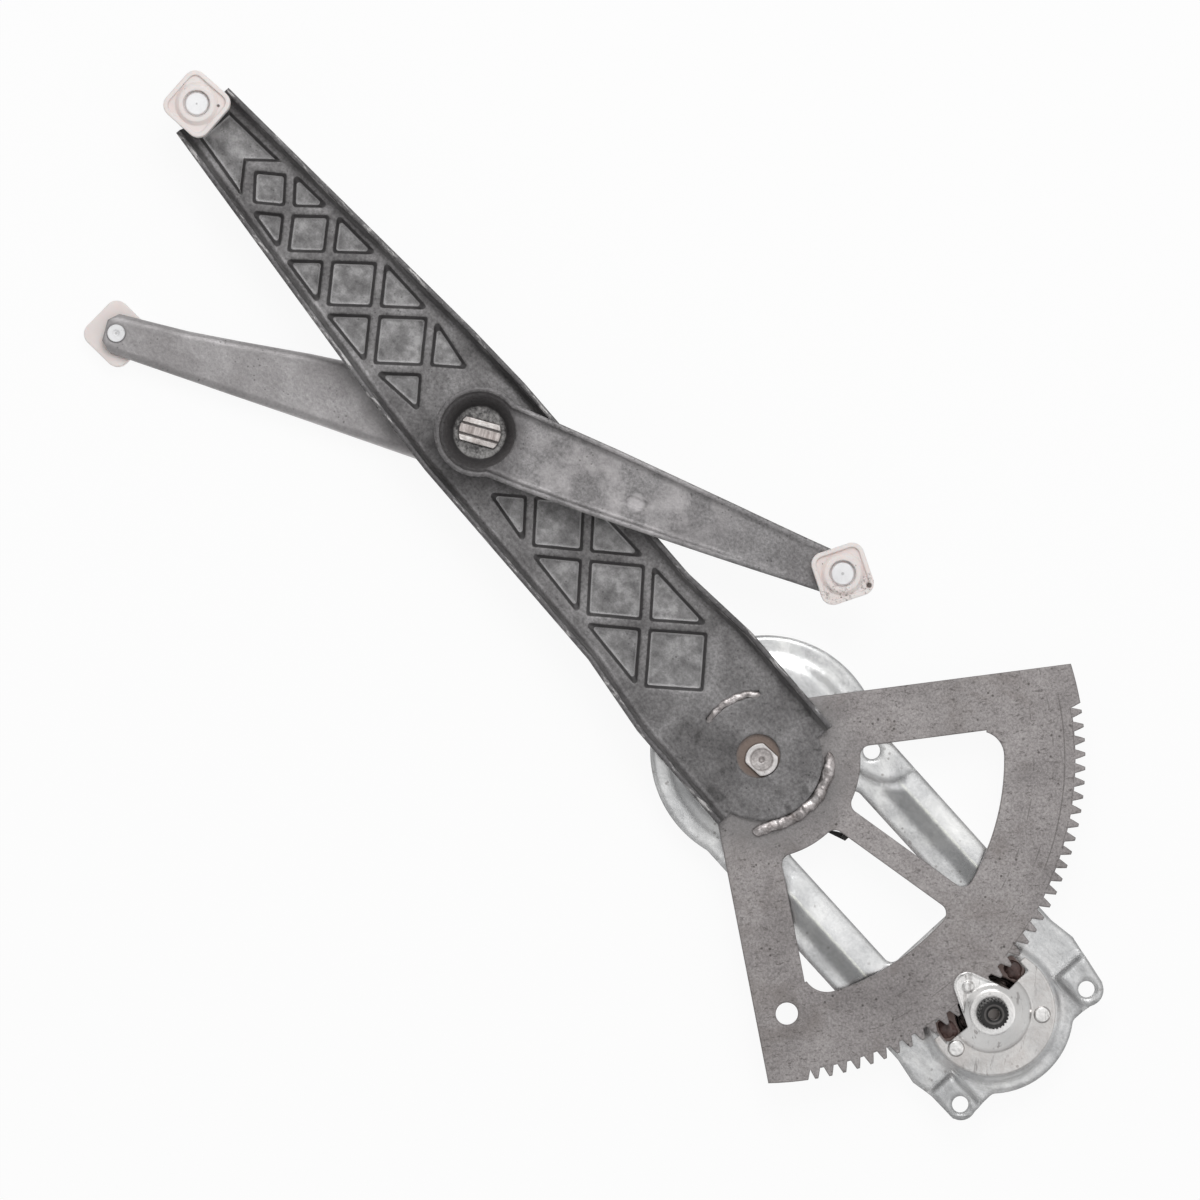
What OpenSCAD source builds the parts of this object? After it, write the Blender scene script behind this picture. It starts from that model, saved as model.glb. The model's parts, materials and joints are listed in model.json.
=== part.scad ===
// Manual cross-arm window regulator: a toothed sector welded to a lattice-pressed lift arm,
// a balance arm crossing it, a hand crank pinion, and a spiral counterbalance spring.
// The origin lies midway between the two ear holes, on the ears' front face.
// +X runs from the pivot towards the crank, +Z points out at the viewer.

/* [Gear train] */
// Module of the sector and pinion teeth
tooth_module = 2; // [1.9:0.02:2.1]
// Teeth that a whole ring of the sector would hold
ring_teeth = 142; // [136:1:148]
// Teeth cut on the sector
sector_teeth = 36; // [28:2:36]
// Teeth on the pinion
pinion_teeth = 10; // [10:1:12]
// Play between meshing teeth at the pitch line
backlash = 0.5; // [0.3:0.1:0.8]
// Turn of the sector's centre line from the line between pivot and crank
sector_turn = 11.85; // [0:0.05:16]

/* [Sector] */
// Thickness of the sector
sector_t = 3; // [2:0.1:4]
// Half angle of the open part between the two side spokes
window_half_angle = 43.2; // [40:0.1:45]
// Width of a side spoke
side_spoke_w = 24.5; // [18:0.5:28]
// Width of the middle spoke
mid_spoke_w = 11.2; // [8:0.2:16]
// Inner radius of the two windows
window_r_in = 44; // [42:0.5:50]
// Outer radius of the two windows
window_r_out = 108; // [90:1:112]
// Radius of the wide window corners by the side spokes
window_corner_wide = 11; // [5:0.5:14]
// Radius of the other window corners
window_corner = 4.5; // [2:0.5:6]
// Radius of the hub under the lift arm
sector_hub_r = 32; // [30:0.5:38]
// Diameter of the tooling hole
tooling_d = 10; // [6:0.5:12]
// Distance of the tooling hole from the pivot
tooling_r = 113.6; // [110:0.2:120]
// Turn of the tooling hole from the sector's centre line
tooling_turn = -48.5; // [-49:0.1:-46]

/* [Lift arm] */
// Distance from the pivot to the lift slider
lift_reach = 383; // [376:1:400]
// Heading of the lift arm
lift_turn = 178.4; // [170:0.1:182]
// Distance from the pivot to the cross pin
cross_reach = 191.8; // [189:0.2:195]
// Sheet thickness of the arms
arm_t = 2; // [1.6:0.1:2.4]
// Height of the lift arm's flanges over the back of its web
lift_flange_h = 10; // [7:0.5:10]
// Half width over the flanges by the pivot
lift_half_w = 33.5; // [32:0.5:38]
// Half width over the flanges in the middle
lift_mid_half_w = 29.3; // [27:0.1:31]
// Half width over the flanges by the slider
lift_tip_half_w = 15.5; // [14:0.5:18]
// Depth of the lattice pockets
pocket_depth = 3; // [1.5:0.1:3]
// Width of the lattice ribs at the top
rib_w = 3; // [2:0.1:4]
// Width of the lattice ribs at the pocket floor
rib_root_w = 6.6; // [4:0.1:7]
// Radius of the lift arm's welded end
arm_end_r = 27; // [26:0.5:28]
// Diameter of the access hole over the pivot
access_d = 19.6; // [19:0.1:22]
// Shift of the access hole from the pivot, towards the slider
access_shift = 2.2; // [0:0.1:2.3]
// Width of the weld beads
bead_w = 3.6; // [2:0.2:4]
// Inner radius of the slot that the short bead fills
slot_r = 28.2; // [27.6:0.1:28.6]
// Span of the short bead
slot_span = 51.5; // [46:0.5:52]

/* [Balance arm] */
// Distance from the cross pin to the front slider
front_reach = 172.4; // [150:1:190]
// Heading of the front half
front_turn = 26.3; // [10:0.1:40]
// Distance from the cross pin to the rear slider
rear_reach = 168.3; // [150:1:190]
// Heading of the rear half
rear_turn = 212.3; // [196:0.1:226]
// Outer radius of the front half's hub
front_hub_r = 20.3; // [19:0.1:22]
// Radius of the flat floor in the front half's hub
front_floor_r = 11.5; // [11:0.1:13]
// Height of the front half's flanges over the back of its web
front_flange_h = 5.5; // [4.5:0.5:8]
// Height of the rear half's flanges at the hub
rear_flange_h = 7; // [5:0.5:8]
// Length of the keyed end of the cross pin
key_l = 18.7; // [16:0.1:19]
// Width of the keyed end of the cross pin
key_w = 10.7; // [8:0.1:12]
// Turn of the cross pin's keys from each half of the balance arm
key_turn = 6; // [-20:1:20]
// Radius of the round middle of the cross pin
cross_pin_r = 10; // [9.8:0.1:10.6]

/* [Sliders] */
// Side of a slider pad
pad_side = 24; // [20:0.5:28]
// Corner radius of a slider pad
pad_corner = 5.4; // [3:0.2:8]
// Thickness of a slider pad
pad_t = 7.5; // [6:0.1:9]
// Radius of the neck that a slider turns on
neck_r = 4; // [3.4:0.1:4.2]
// Radius of a slider rivet's head
head_r = 5.45; // [5:0.05:6]
// Turn of the lift slider
lift_pad_turn = 8; // [-45:1:45]
// Turn of the front slider
front_pad_turn = 40; // [0:1:90]
// Turn of the rear slider
rear_pad_turn = -29; // [-45:1:45]

/* [Base plate] */
// Sheet thickness of the base plate
base_t = 2; // [1.6:0.1:2.2]
// Distance from the crank axis to the line of the ear holes
ear_setback = 21; // [19:0.5:25]
// Distance between the two ear holes
ear_spacing = 76; // [74:1:80]
// Diameter of the ear holes
ear_hole_d = 7.3; // [6:0.1:8]
// Radius of the rounded ears
ear_r = 7.3; // [6.8:0.1:8.5]
// Depth of the base plate's strip behind the ears
strip_drop = 4; // [3.6:0.1:4.4]
// Height of the pan floor and the disc plateau over the strip
plateau_rise = 2; // [1.6:0.1:2.2]
// Radius of the disc
disc_r = 51.5; // [49:0.5:56]
// Radius of the disc's plateau
disc_plateau_r = 38.5; // [36:0.5:42]
// Offset of the disc from the pivot
disc_offset = [-1.4, 4]; // [-5:0.1:5]
// Half width over the two legs
leg_half_w = 46.7; // [44:0.5:50]
// Half width of the window between the legs
leg_window_half_w = 20.7; // [18:0.5:24]
// Sideways shift of the legs
leg_shift = 1.5; // [0:0.1:3]
// Rise of the creases along the legs over the strip
ridge_rise = 1.5; // [0.8:0.1:1.6]
// Half width of a crease at its foot
ridge_half_w = 8; // [6:0.5:9]
// Sideways shift of the two creases
ridge_shift = 4; // [3:0.1:5]
// Radius of the pan rim
pan_rim_r = 36.7; // [35:0.1:39]
// Radius of the pan floor
pan_floor_r = 29; // [28.5:0.1:30]
// Diameter of the two disc holes
disc_hole_d = 7.5; // [6:0.1:8]
// Distance between the two disc holes
disc_hole_spacing = 77.8; // [76:0.2:80]
// Distance of the disc holes from the pivot, towards the crank
disc_hole_reach = 30.3; // [28:0.1:32]

/* [Crank] */
// Radius of the splined end of the crank spindle
spline_r = 6.5; // [6:0.1:7]
// Splines on the crank spindle
spline_count = 24; // [18:1:30]
// How far the crank spindle stands over the ears
spindle_reach = 20; // [16:0.5:26]
// Radius of the spindle behind the spline
shank_r = 4.6; // [4:0.1:5]
// Radius of the threaded hole in the spindle
thread_r = 2.5; // [2:0.1:3]
// Depth of the threaded hole
thread_l = 12; // [8:0.5:14]
// Radius of the pinion cover's flat top
cover_top_r = 10; // [9:0.1:11]
// Radius of the pinion cover's dome at its foot
dome_r = 18; // [17.6:0.1:19]
// Sheet thickness of the pinion cover
cover_t = 1.5; // [1:0.1:1.6]
// Half width of the pinion cover's finger
finger_half_w = 6.2; // [5:0.1:7]
// Reach of the finger from the crank axis to its round end
finger_reach = 16.1; // [14:0.1:18]
// Distance of the housing rivets from the crank axis
rivet_ring_r = 22.6; // [21.5:0.1:24]
// Radius of a housing rivet's head
rivet_head_r = 3.8; // [3:0.1:4]
// Inner radius of the clutch drum
drum_r = 16; // [15:0.1:16.5]
// Wall thickness of the clutch housing
cup_t = 1.5; // [1:0.1:1.6]

/* [Pivot and spring] */
// Radius of the pivot shaft's double-D end
pivot_end_r = 7.2; // [6.6:0.1:7.6]
// Distance between the flats of the double-D end
pivot_flats = 11.6; // [10:0.1:12]
// Turn of the flats' normal
flats_turn = 95; // [90:1:100]
// Radius of the pivot shaft
shaft_r = 9; // [8.4:0.1:9.4]
// Radius of the pivot bush
bush_r = 11.5; // [11:0.1:12.5]
// Width of the counterbalance spring's strip
spring_w = 10; // [8:0.5:10]
// Thickness of the spring's strip
spring_t = 2; // [1.6:0.1:2.2]
// Turns of the spring
spring_turns = 6; // [5:1:7]
// Outer radius of the spring
spring_r = 44.3; // [40:0.1:45]
// Width of the tongue that holds the spring's outer end
tongue_w = 8; // [6:0.5:9]
// Reach of the tongue from the pivot
tongue_reach = 57; // [55:0.5:62]
// Depth of the whole regulator behind the ears
back_depth = 18; // [17.5:0.5:22]

/* [Clearances] */
// Gap between faces that slide on each other
face_gap = 0.1; // [0.05:0.01:0.2]
// Radial clearance of a turning fit
run_fit = 0.05; // [0.03:0.01:0.08]
// Clearance of a piece that is pressed, riveted or keyed in place
seat_fit = 0.02; // [0.01:0.01:0.05]
// Clearance between pieces that pass but never touch
free_gap = 0.5; // [0.4:0.05:0.8]

/* [Hidden] */
$fn = 72;
far = 400;

// Places seen from the front
pressure = 20;
addendum = tooth_module;
dedendum = 1.2 * tooth_module;
sector_pitch_r = tooth_module * ring_teeth / 2;
sector_tip_r = sector_pitch_r + addendum;
sector_root_r = sector_pitch_r - dedendum;
pinion_pitch_r = tooth_module * pinion_teeth / 2;
pinion_tip_r = pinion_pitch_r + addendum;
pinion_root_r = pinion_pitch_r - dedendum;
crank_x = -ear_setback;
pivot_x = crank_x - sector_pitch_r - pinion_pitch_r;
ear_y = ear_spacing / 2;
tooth_step = 360 / ring_teeth;

// Levels from back to front
strip_z = -strip_drop;
plateau_z = strip_z + plateau_rise;
back_z = -back_depth;
sector_z = -1;
sector_top = sector_z + sector_t;
lift_web_top = sector_top + arm_t;
lift_flange_top = sector_top + lift_flange_h;
front_hub_z = lift_web_top + face_gap;
front_web_z = lift_flange_top + free_gap;
front_web_top = front_web_z + arm_t;
rear_hub_top = sector_top - face_gap;
rear_hub_z = rear_hub_top - arm_t;
rear_web_top = strip_z - base_t;
rear_web_z = rear_web_top - arm_t;
pad_z = front_web_top + free_gap;
pad_top = pad_z + pad_t;
pinion_z = sector_z - 0.3;
pinion_top = sector_top + 0.2;
finger_z = sector_top + 0.3;
cover_top_z = finger_z + 2;
spindle_top = spindle_reach;

function polar(r, a) = [r * cos(a), r * sin(a)];
function inv(a) = tan(a) * 180 / PI - a;

// Half the angle of an involute tooth at a radius
function tooth_half(r, teeth) =
  let(pitch_r = tooth_module * teeth / 2, base_r = pitch_r * cos(pressure))
  90 / teeth + inv(pressure) - inv(acos(min(1, base_r / r))) - backlash / 4 / pitch_r * 180 / PI;

// One tooth's outline around the angle a
function tooth(teeth, a) =
  let(pitch_r = tooth_module * teeth / 2)
  let(rs = [for (s = [-1.2, -0.6, 0, 0.5, 1]) pitch_r + s * tooth_module])
  concat(
    [for (r = rs) polar(r, a - tooth_half(r, teeth))],
    [for (i = [len(rs) - 1:-1:0]) polar(rs[i], a + tooth_half(rs[i], teeth))]
  );

module at_pivot() translate([pivot_x, 0, 0]) children();
module at_crank() translate([crank_x, 0, 0]) children();
module in_sector() at_pivot() rotate(sector_turn) children();
module in_lift() at_pivot() rotate(lift_turn) children();
module in_front() in_lift() translate([cross_reach, 0, 0]) rotate(front_turn - lift_turn) children();
module in_rear() in_lift() translate([cross_reach, 0, 0]) rotate(rear_turn - lift_turn) children();
module at_level(z) translate([0, 0, z]) children();

// A plate of the outline below it between two levels
module plate(from, to) at_level(from) linear_extrude(to - from) children();

// A round disc or ring between two levels
module disc(r, from, to) at_level(from) cylinder(r = r, h = to - from);

// Outline with its outer corners rounded
module soft_outer(r) offset(r = r) offset(delta = -r) children();

// Outline with its inner corners rounded
module soft_inner(r) offset(r = -r) offset(delta = r) children();

// A cell shrunk evenly on all sides and pressed with sloping walls
// between two levels; the cell is given around its inscribed circle
module sloped_cell(points, centre, inner_r, low_inset, high_inset, from, to, corner) {
  translate([centre[0], centre[1], from])
    linear_extrude(to - from, scale = (inner_r - high_inset) / (inner_r - low_inset), slices = 1)
      offset(r = corner, $fn = 12) offset(delta = -low_inset - corner)
        polygon([for (p = points) p - centre]);
}

// Points of an outline moved evenly inwards
function inset(points, d) =
  let(n = len(points))
  [for (i = [0:n - 1])
    let(p = points[i], before = unit(p - points[(i + n - 1) % n]), after = unit(points[(i + 1) % n] - p))
    p + ([-before[1], before[0]] + [-after[1], after[0]]) * d / (1 + before * after)];

function unit(v) = v / norm(v);

// Solid stacked from insets of one outline; each level is [height, inset]
module stack(outline, levels) {
  m = len(outline);
  top = len(levels) - 1;
  middle = [for (p = outline) 1] * outline / m;
  polyhedron(
    concat(
      [for (l = levels) for (p = inset(outline, l[1])) [p[0], p[1], l[0]]],
      [for (l = [levels[0], levels[top]]) [middle[0], middle[1], l[0]]]
    ),
    concat(
      [for (k = [0:m - 1]) [(top + 1) * m, k, (k + 1) % m]],
      [for (j = [0:top - 1]) for (k = [0:m - 1])
        [j * m + k, (j + 1) * m + k, (j + 1) * m + (k + 1) % m, j * m + (k + 1) % m]],
      [for (k = [0:m - 1]) [(top + 1) * m + 1, top * m + (k + 1) % m, top * m + k]]
    ),
    convexity = 8
  );
}

// One skin of a sheet edge that bends up with a radius and leans outwards:
// [height, inset] from the flat web to the height of the flange
function skin(r, bend, lean, height, reach) =
  let(steps = 3)
  concat(
    [for (k = [0:steps]) let(a = -90 + k / steps * (90 - lean)) [bend + r * sin(a), reach + bend - r * cos(a)]],
    [[height, reach + bend - r * cos(lean) - (height - bend + r * sin(lean)) * tan(lean)]]
  );

// How far a leaning flange reaches past the start of its bend
function flange_reach(bend, lean, height) = (height - bend + bend * sin(lean)) * tan(lean) + bend * cos(lean) - bend;

// A pressed sheet: web and flanges inside the outline, with room for its own
// bulges and recesses as children(0) and children(1)
module pressed_tray(outline, t, bend, lean, height) {
  reach = flange_reach(bend, lean, height);
  difference() {
    union() {
      stack(outline, skin(bend, bend, lean, height, reach));
      children(0);
    }
    stack(outline, skin(bend - t, bend, lean, height + 1, reach));
    children(1);
  }
}

// Outline of a balance arm half: two sides, given as [x, low y, high y], and a round hub
function balance_outline(hub_r, sides) = concat(
  [for (w = sides) [w[0], w[1]]],
  [for (i = [len(sides) - 1:-1:0]) [sides[i][0], sides[i][2]]],
  [for (a = [60:10:300]) polar(hub_r, a)]
);

// Base plate

module base_outline() {
  difference() {
    soft_inner(4) {
      at_pivot() translate(disc_offset) circle(disc_r, $fn = 144);
      polygon([
        [pivot_x, leg_half_w + leg_shift], [crank_x - 12, leg_half_w + 0.5], [crank_x, leg_half_w + 2.5],
        [2, ear_y + ear_r], [ear_r - 0.6, ear_y - 3], [ear_r - 0.8, 24],
        [ear_r - 0.8, -24], [ear_r - 0.6, 3 - ear_y], [2, -ear_y - ear_r + 0.6],
        [crank_x + 10, -ear_y - ear_r + 0.3], [crank_x, -leg_half_w - 0.4],
        [crank_x - 12, -leg_half_w + leg_shift], [pivot_x, -leg_half_w + leg_shift]
      ]);
      for (side = [-1, 1])
        translate([0.4, side * ear_y]) circle(ear_r - (1 - side) / 4);
      at_crank() circle(pan_rim_r);
    }
    difference() {
      leg_window();
      spring_tongue();
    }
    pan_opening();
    for (side = [-1, 1]) {
      translate([0, side * ear_y]) circle(d = ear_hole_d);
      translate([pivot_x + disc_hole_reach, side * disc_hole_spacing / 2]) circle(d = disc_hole_d);
    }
    at_pivot() circle(bush_r + seat_fit);
    rivet_places() circle(2.5 + seat_fit);
  }
}

module leg_window() {
  start = pivot_x + bush_r + 26;
  soft_outer(4)
    translate([start, leg_shift - leg_window_half_w])
      square([crank_x - 45 - start, 2 * leg_window_half_w]);
}

// Tongue under the sector's middle spoke that the spring hooks onto
module spring_tongue() {
  at_pivot() translate([0, 10.5]) soft_outer(2) translate([0, -tongue_w / 2]) square([tongue_reach, tongue_w]);
}

// The hole that lets the sector's teeth reach the pinion
module pan_opening() {
  at_crank() {
    circle(drum_r + free_gap);
    soft_outer(2.5) translate([-13, -24.2]) square([10.5, 48.4]);
  }
}

// A crease along a leg, shaped like a low hipped roof
module ridge(y) {
  from = pivot_x + 46;
  to = crank_x - 44;
  slope = (ridge_half_w - 1) / (ridge_rise - 0.2);
  stack([[from, y - ridge_half_w], [to, y - ridge_half_w], [to, y + ridge_half_w], [from, y + ridge_half_w]],
    [[strip_z - 0.3, -0.3 * slope], [strip_z + ridge_rise - 0.2, ridge_half_w - 1],
      [strip_z + ridge_rise, ridge_half_w - 0.2]]);
}

// The raised corner round a disc hole
module disc_corner() {
  slope = 1.3;
  at_pivot()
    stack([[20, 22], [36, 28], [43, 31], [48, 35.5], [50.5, 41], [50.5, 62], [20, 62]],
      [[strip_z - 0.5, -0.5 * slope], [plateau_z - 0.3, (plateau_rise - 0.3) * slope]]);
}

// Everything behind the base plate's front face
module base_form() {
  plate(-far, strip_z) translate([-far, -far / 2]) square(far + 50);
  at_pivot() translate(disc_offset) at_level(strip_z - 1)
    cylinder(r1 = disc_plateau_r + 2.6 * (plateau_rise + 1), r2 = disc_plateau_r, h = plateau_rise + 1);
  at_crank()
    at_level(strip_z - 1) cylinder(r1 = pan_floor_r + 4, r2 = pan_floor_r, h = plateau_rise + 1);
  for (side = [-1, 1])
    ridge(ridge_shift + side * (leg_half_w + leg_window_half_w + 2) / 2);
  for (side = [0, 1])
    mirror([0, side, 0]) disc_corner();
  for (side = [-1, 1])
    translate([0, side * (ear_y + 6), 0]) ear_form();
}

// A pad raised to the ears' level, with sloping sides
module ear_form() {
  bottom = strip_z - base_t - 1;
  slope = 0.8;
  module side_view(half) polygon([
    [-half - strip_drop * slope, bottom], [half + strip_drop * slope, bottom],
    [half + strip_drop * slope, strip_z], [half, 0], [-half, 0], [-half - strip_drop * slope, strip_z]
  ]);
  intersection() {
    rotate([90, 0, 0]) linear_extrude(60, center = true) side_view(11);
    rotate([90, 0, 90]) linear_extrude(60, center = true) side_view(11);
  }
}

module base_plate() {
  color("silver")
    intersection() {
      plate(strip_z - base_t, 0) base_outline();
      difference() {
        base_form();
        at_level(-base_t) base_form();
      }
    }
}

// Pinion cover, clutch housing and their rivets

rivet_turns = [-86.5, 44.5];

module rivet_places() at_crank() for (a = rivet_turns) rotate(a) translate([rivet_ring_r, 0]) children();

module cover_flange() {
  difference() {
    circle(pan_floor_r - free_gap);
    circle(dome_r - 0.2);
    translate([-far, -24.2]) square([far - 2.5, 48.4]);
    translate([-far, -far / 2]) square([far - 8, far]);
  }
}

module finger(r) {
  hull() {
    translate([-finger_reach, 0]) circle(r);
    polygon([[-8, -r - 1], [-8, r + 1], [-1, 13], [-1, -13]]);
  }
}

module pinion_cover() {
  color("silver") at_crank() {
    difference() {
      union() {
        plate(plateau_z, plateau_z + cover_t) cover_flange();
        intersection() {
          at_level(plateau_z) rotate_extrude() polygon([
            [spline_r + run_fit, cover_top_z - plateau_z], [spline_r + run_fit, cover_top_z + cover_t - plateau_z],
            [cover_top_r, cover_top_z + cover_t - plateau_z], [dome_r, cover_t], [dome_r + 2, cover_t],
            [dome_r + 2, 0], [dome_r - 0.2, 0], [cover_top_r - 0.2, cover_top_z - plateau_z]
          ]);
          union() {
            plate(finger_z, far) finger(finger_half_w);
            plate(-far, far) translate([-2.5, -far / 2]) square(far);
          }
        }
        plate(finger_z, finger_z + cover_t) difference() {
          intersection() {
            finger(finger_half_w);
            translate([-far, -far / 2]) square([far - 6, far]);
          }
          circle(cover_top_r);
        }
        translate([0.6 - finger_reach, 0, finger_z + 0.5]) cylinder(r1 = 3, r2 = 2.3, h = cover_t + 0.2);
        plate(finger_z + 0.5, finger_z + cover_t + 0.4) difference() {
          finger(finger_half_w);
          finger(finger_half_w - 0.9);
          translate([-9.5, -far / 2]) square(far);
        }
      }
      for (a = rivet_turns)
        rotate(a) translate([rivet_ring_r, 0, plateau_z - 1]) cylinder(r = 2.5 + seat_fit, h = 5);
      translate([0.6 - finger_reach, 0, finger_z - 1]) cylinder(r = 1.7, h = 1.6);
    }
  }
}

module clutch_housing() {
  flange_top = plateau_z - base_t;
  flange_r = pan_floor_r - 0.2;
  color("darkgray") difference() {
    at_crank() rotate_extrude() polygon([
      [0, back_z], [drum_r + cup_t, back_z], [drum_r + cup_t, flange_top - cup_t], [flange_r, flange_top - cup_t],
      [flange_r, flange_top], [drum_r, flange_top], [drum_r, back_z + cup_t], [0, back_z + cup_t]
    ]);
    rivet_places() at_level(-far) cylinder(r = 2.5 + seat_fit, h = far);
  }
}

module housing_rivets() {
  rear_face = plateau_z - base_t - cup_t;
  front_face = plateau_z + cover_t;
  color("gainsboro") rivet_places() {
    disc(2.5, rear_face, front_face);
    at_level(rear_face - 1) cylinder(r1 = 2.8, r2 = 3.6, h = 1);
    at_level(front_face) cylinder(r1 = rivet_head_r, r2 = rivet_head_r - 0.6, h = 1.2);
  }
}

// Pivot, its bush and the counterbalance spring

module double_d(r, flats) {
  rotate(flats_turn - lift_turn)
    intersection() {
      circle(r);
      square([flats, 4 * r], center = true);
    }
}

bush_flange_t = sector_z - plateau_z - face_gap;
bush_back = plateau_z - base_t - 1.5;

module pivot_bush() {
  color("dimgray") at_pivot() difference() {
    union() {
      disc(bush_r + 3.5, plateau_z, plateau_z + bush_flange_t);
      disc(bush_r, bush_back, plateau_z + bush_flange_t);
    }
    disc(shaft_r + run_fit, -far, far);
  }
}

module pivot_shaft() {
  color("gray") at_pivot() {
    difference() {
      union() {
        disc(shaft_r, back_z + cup_t + free_gap, sector_z - seat_fit);
        rotate(lift_turn) plate(sector_z - seat_fit, lift_web_top) double_d(pivot_end_r, pivot_flats);
      }
      at_level(lift_web_top - 1) cylinder(r1 = 0.6, r2 = 1.6, h = 1.1);
      plate(-far, back_z + cup_t + spring_w + 2) square([spring_t + 1, 3 * shaft_r], center = true);
    }
  }
}

module pivot_retainer() {
  color("black") at_pivot() difference() {
    disc(shaft_r + 3, bush_back - 1.5 - face_gap, bush_back - face_gap);
    disc(shaft_r + seat_fit, -far, far);
    translate([shaft_r, -3, -far]) cube([10, 6, 2 * far]);
  }
}

// Spiral strip; its outer end hooks round the tongue between the legs
module counter_spring() {
  inner_r = shaft_r + 0.3 + spring_t / 2;
  outer_r = spring_r - spring_t / 2;
  step = 15;
  last = spring_turns * 360 / step;
  function mid_r(i) = inner_r + (outer_r - inner_r) * i / last;
  hook = [disc_r - 2, 3];
  color("black") at_pivot() {
    plate(back_z, back_z + spring_w)
      polygon(concat(
        [for (i = [0:last]) polar(mid_r(i) + spring_t / 2, i * step)],
        [hook + [2.4, 0], hook + [2.4, 5.2], hook + [0, 5.2], hook + [0, spring_t]],
        [for (i = [last:-1:0]) polar(mid_r(i) - spring_t / 2, i * step)]
      ));
    translate([hook[0], hook[1], back_z + spring_w - 1]) cube([2.4, 3, strip_z + 2.5 - back_z - spring_w + 1]);
  }
}

// Sector and lift arm

module sector_windows() {
  for (side = [-1, 1])
    difference() {
      soft_outer(window_corner) window_raw(side);
      difference() {
        rotate(side * (window_half_angle - 8)) translate([window_r_out - 8, -20]) square(40);
        soft_outer(window_corner_wide) window_raw(side);
      }
    }
}

module window_raw(side) {
  intersection() {
    difference() {
      circle(window_r_out, $fn = 180);
      circle(window_r_in, $fn = 120);
    }
    polygon([
      [0, 0], polar(far, side * window_half_angle), polar(far, side * window_half_angle / 2),
      [far, side * mid_spoke_w / 2], [0, side * mid_spoke_w / 2]
    ]);
  }
}

module sector_gear() {
  edge_turn = window_half_angle + asin(side_spoke_w / sector_tip_r);
  teeth_half = sector_teeth / 2;
  pad_turn = (teeth_half + 0.1) * tooth_step;
  pad_steps = 4;
  color("dimgray") in_sector() difference() {
    plate(sector_z, sector_top) difference() {
      union() {
        circle(sector_hub_r, $fn = 96);
        polygon(concat(
          [polar(side_spoke_w, -window_half_angle - 90)],
          [for (i = [0:pad_steps]) polar(sector_tip_r, -edge_turn + (edge_turn - pad_turn) * i / pad_steps)],
          [for (i = [-teeth_half:teeth_half - 1]) each tooth(ring_teeth, (i + 0.5) * tooth_step)],
          [for (i = [0:pad_steps]) polar(sector_tip_r, pad_turn + (edge_turn - pad_turn) * i / pad_steps)],
          [polar(side_spoke_w, window_half_angle + 90)]
        ));
      }
      sector_windows();
      rotate(tooling_turn) translate([tooling_r, 0]) circle(d = tooling_d);
      rotate(lift_turn - sector_turn) double_d(pivot_end_r + seat_fit, pivot_flats + 2 * seat_fit);
    }
  }
}

// The lift arm's sides run past both ends, where lift_ends() trims them
lift_sides = [
  [-40, lift_half_w], [46, lift_half_w], [84, lift_mid_half_w], [195, lift_mid_half_w],
  [228, lift_mid_half_w - 1.7], [lift_reach - 5, lift_tip_half_w], [lift_reach + 20, lift_tip_half_w - 2.2]
];
lift_outline = concat(
  [for (w = lift_sides) [w[0], -w[1]]],
  [for (i = [len(lift_sides) - 1:-1:0]) lift_sides[i]]
);

module lift_ends() {
  circle(arm_end_r);
  translate([lift_reach, 0]) circle(12);
  translate([-9, -far / 2]) square([lift_reach + 6, far]);
}

// Lattice nodes on the arm's middle line, and the distance of the edge nodes
// halfway between them
lattice_outer = [348, 322, 295, 263, 228.6];
lattice_outer_half = [12.3, 15, 17.4, 18.5];
lattice_inner = [157, 119.6, 79.2, 37.5];
lattice_inner_half = [17.8, 19.5, 21];

// How far the ribs by the cross pin run out from the middle line
hub_side = 14;

// How far the outer cells reach past the edge nodes
edge_reach = 2;

// The press tool for one cell: a pocket from the front or its bulge behind
module press_cell(points, centre, inner_r, bulge) {
  slope = (rib_root_w - rib_w) / 2 / pocket_depth;
  top_inset = rib_w / 2;
  wall = 0.8 * arm_t;
  if (bulge)
    sloped_cell(points, centre, inner_r, top_inset + slope * (pocket_depth + arm_t) - wall,
      top_inset + slope * arm_t - wall, lift_web_top - pocket_depth - arm_t, lift_web_top - arm_t / 2, 1);
  else
    sloped_cell(points, centre, inner_r, rib_root_w / 2, top_inset - slope * 0.5,
      lift_web_top - pocket_depth, lift_web_top + 0.5, 1);
}

module diamond_cell(x1, x2, half, bulge) {
  a = abs(x1 - x2) / 2;
  mid = (x1 + x2) / 2;
  press_cell([[mid - a, 0], [mid, -half], [mid + a, 0], [mid, half]], [mid, 0],
    a * half / norm([a, half]), bulge);
}

module triangle_cell(apex, low, high, bulge) {
  left = low + (low - apex) * edge_reach / abs(low[1]);
  right = high + (high - apex) * edge_reach / abs(high[1]);
  sides = [norm(left - right), norm(right - apex), norm(apex - left)];
  total = sides[0] + sides[1] + sides[2];
  centre = (apex * sides[0] + left * sides[1] + right * sides[2]) / total;
  area = abs((left[0] - apex[0]) * (right[1] - apex[1]) - (right[0] - apex[0]) * (left[1] - apex[1])) / 2;
  press_cell([apex, left, right], centre, 2 * area / total, bulge);
}

module lattice_group(nodes, halves, bulge) {
  for (i = [0:len(halves) - 1])
    diamond_cell(nodes[i], nodes[i + 1], halves[i], bulge);
  for (i = [1:len(halves) - 1]) for (side = [-1, 1])
    triangle_cell([nodes[i], 0], [(nodes[i] + nodes[i - 1]) / 2, side * halves[i - 1]],
      [(nodes[i] + nodes[i + 1]) / 2, side * halves[i]], bulge);
}

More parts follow.
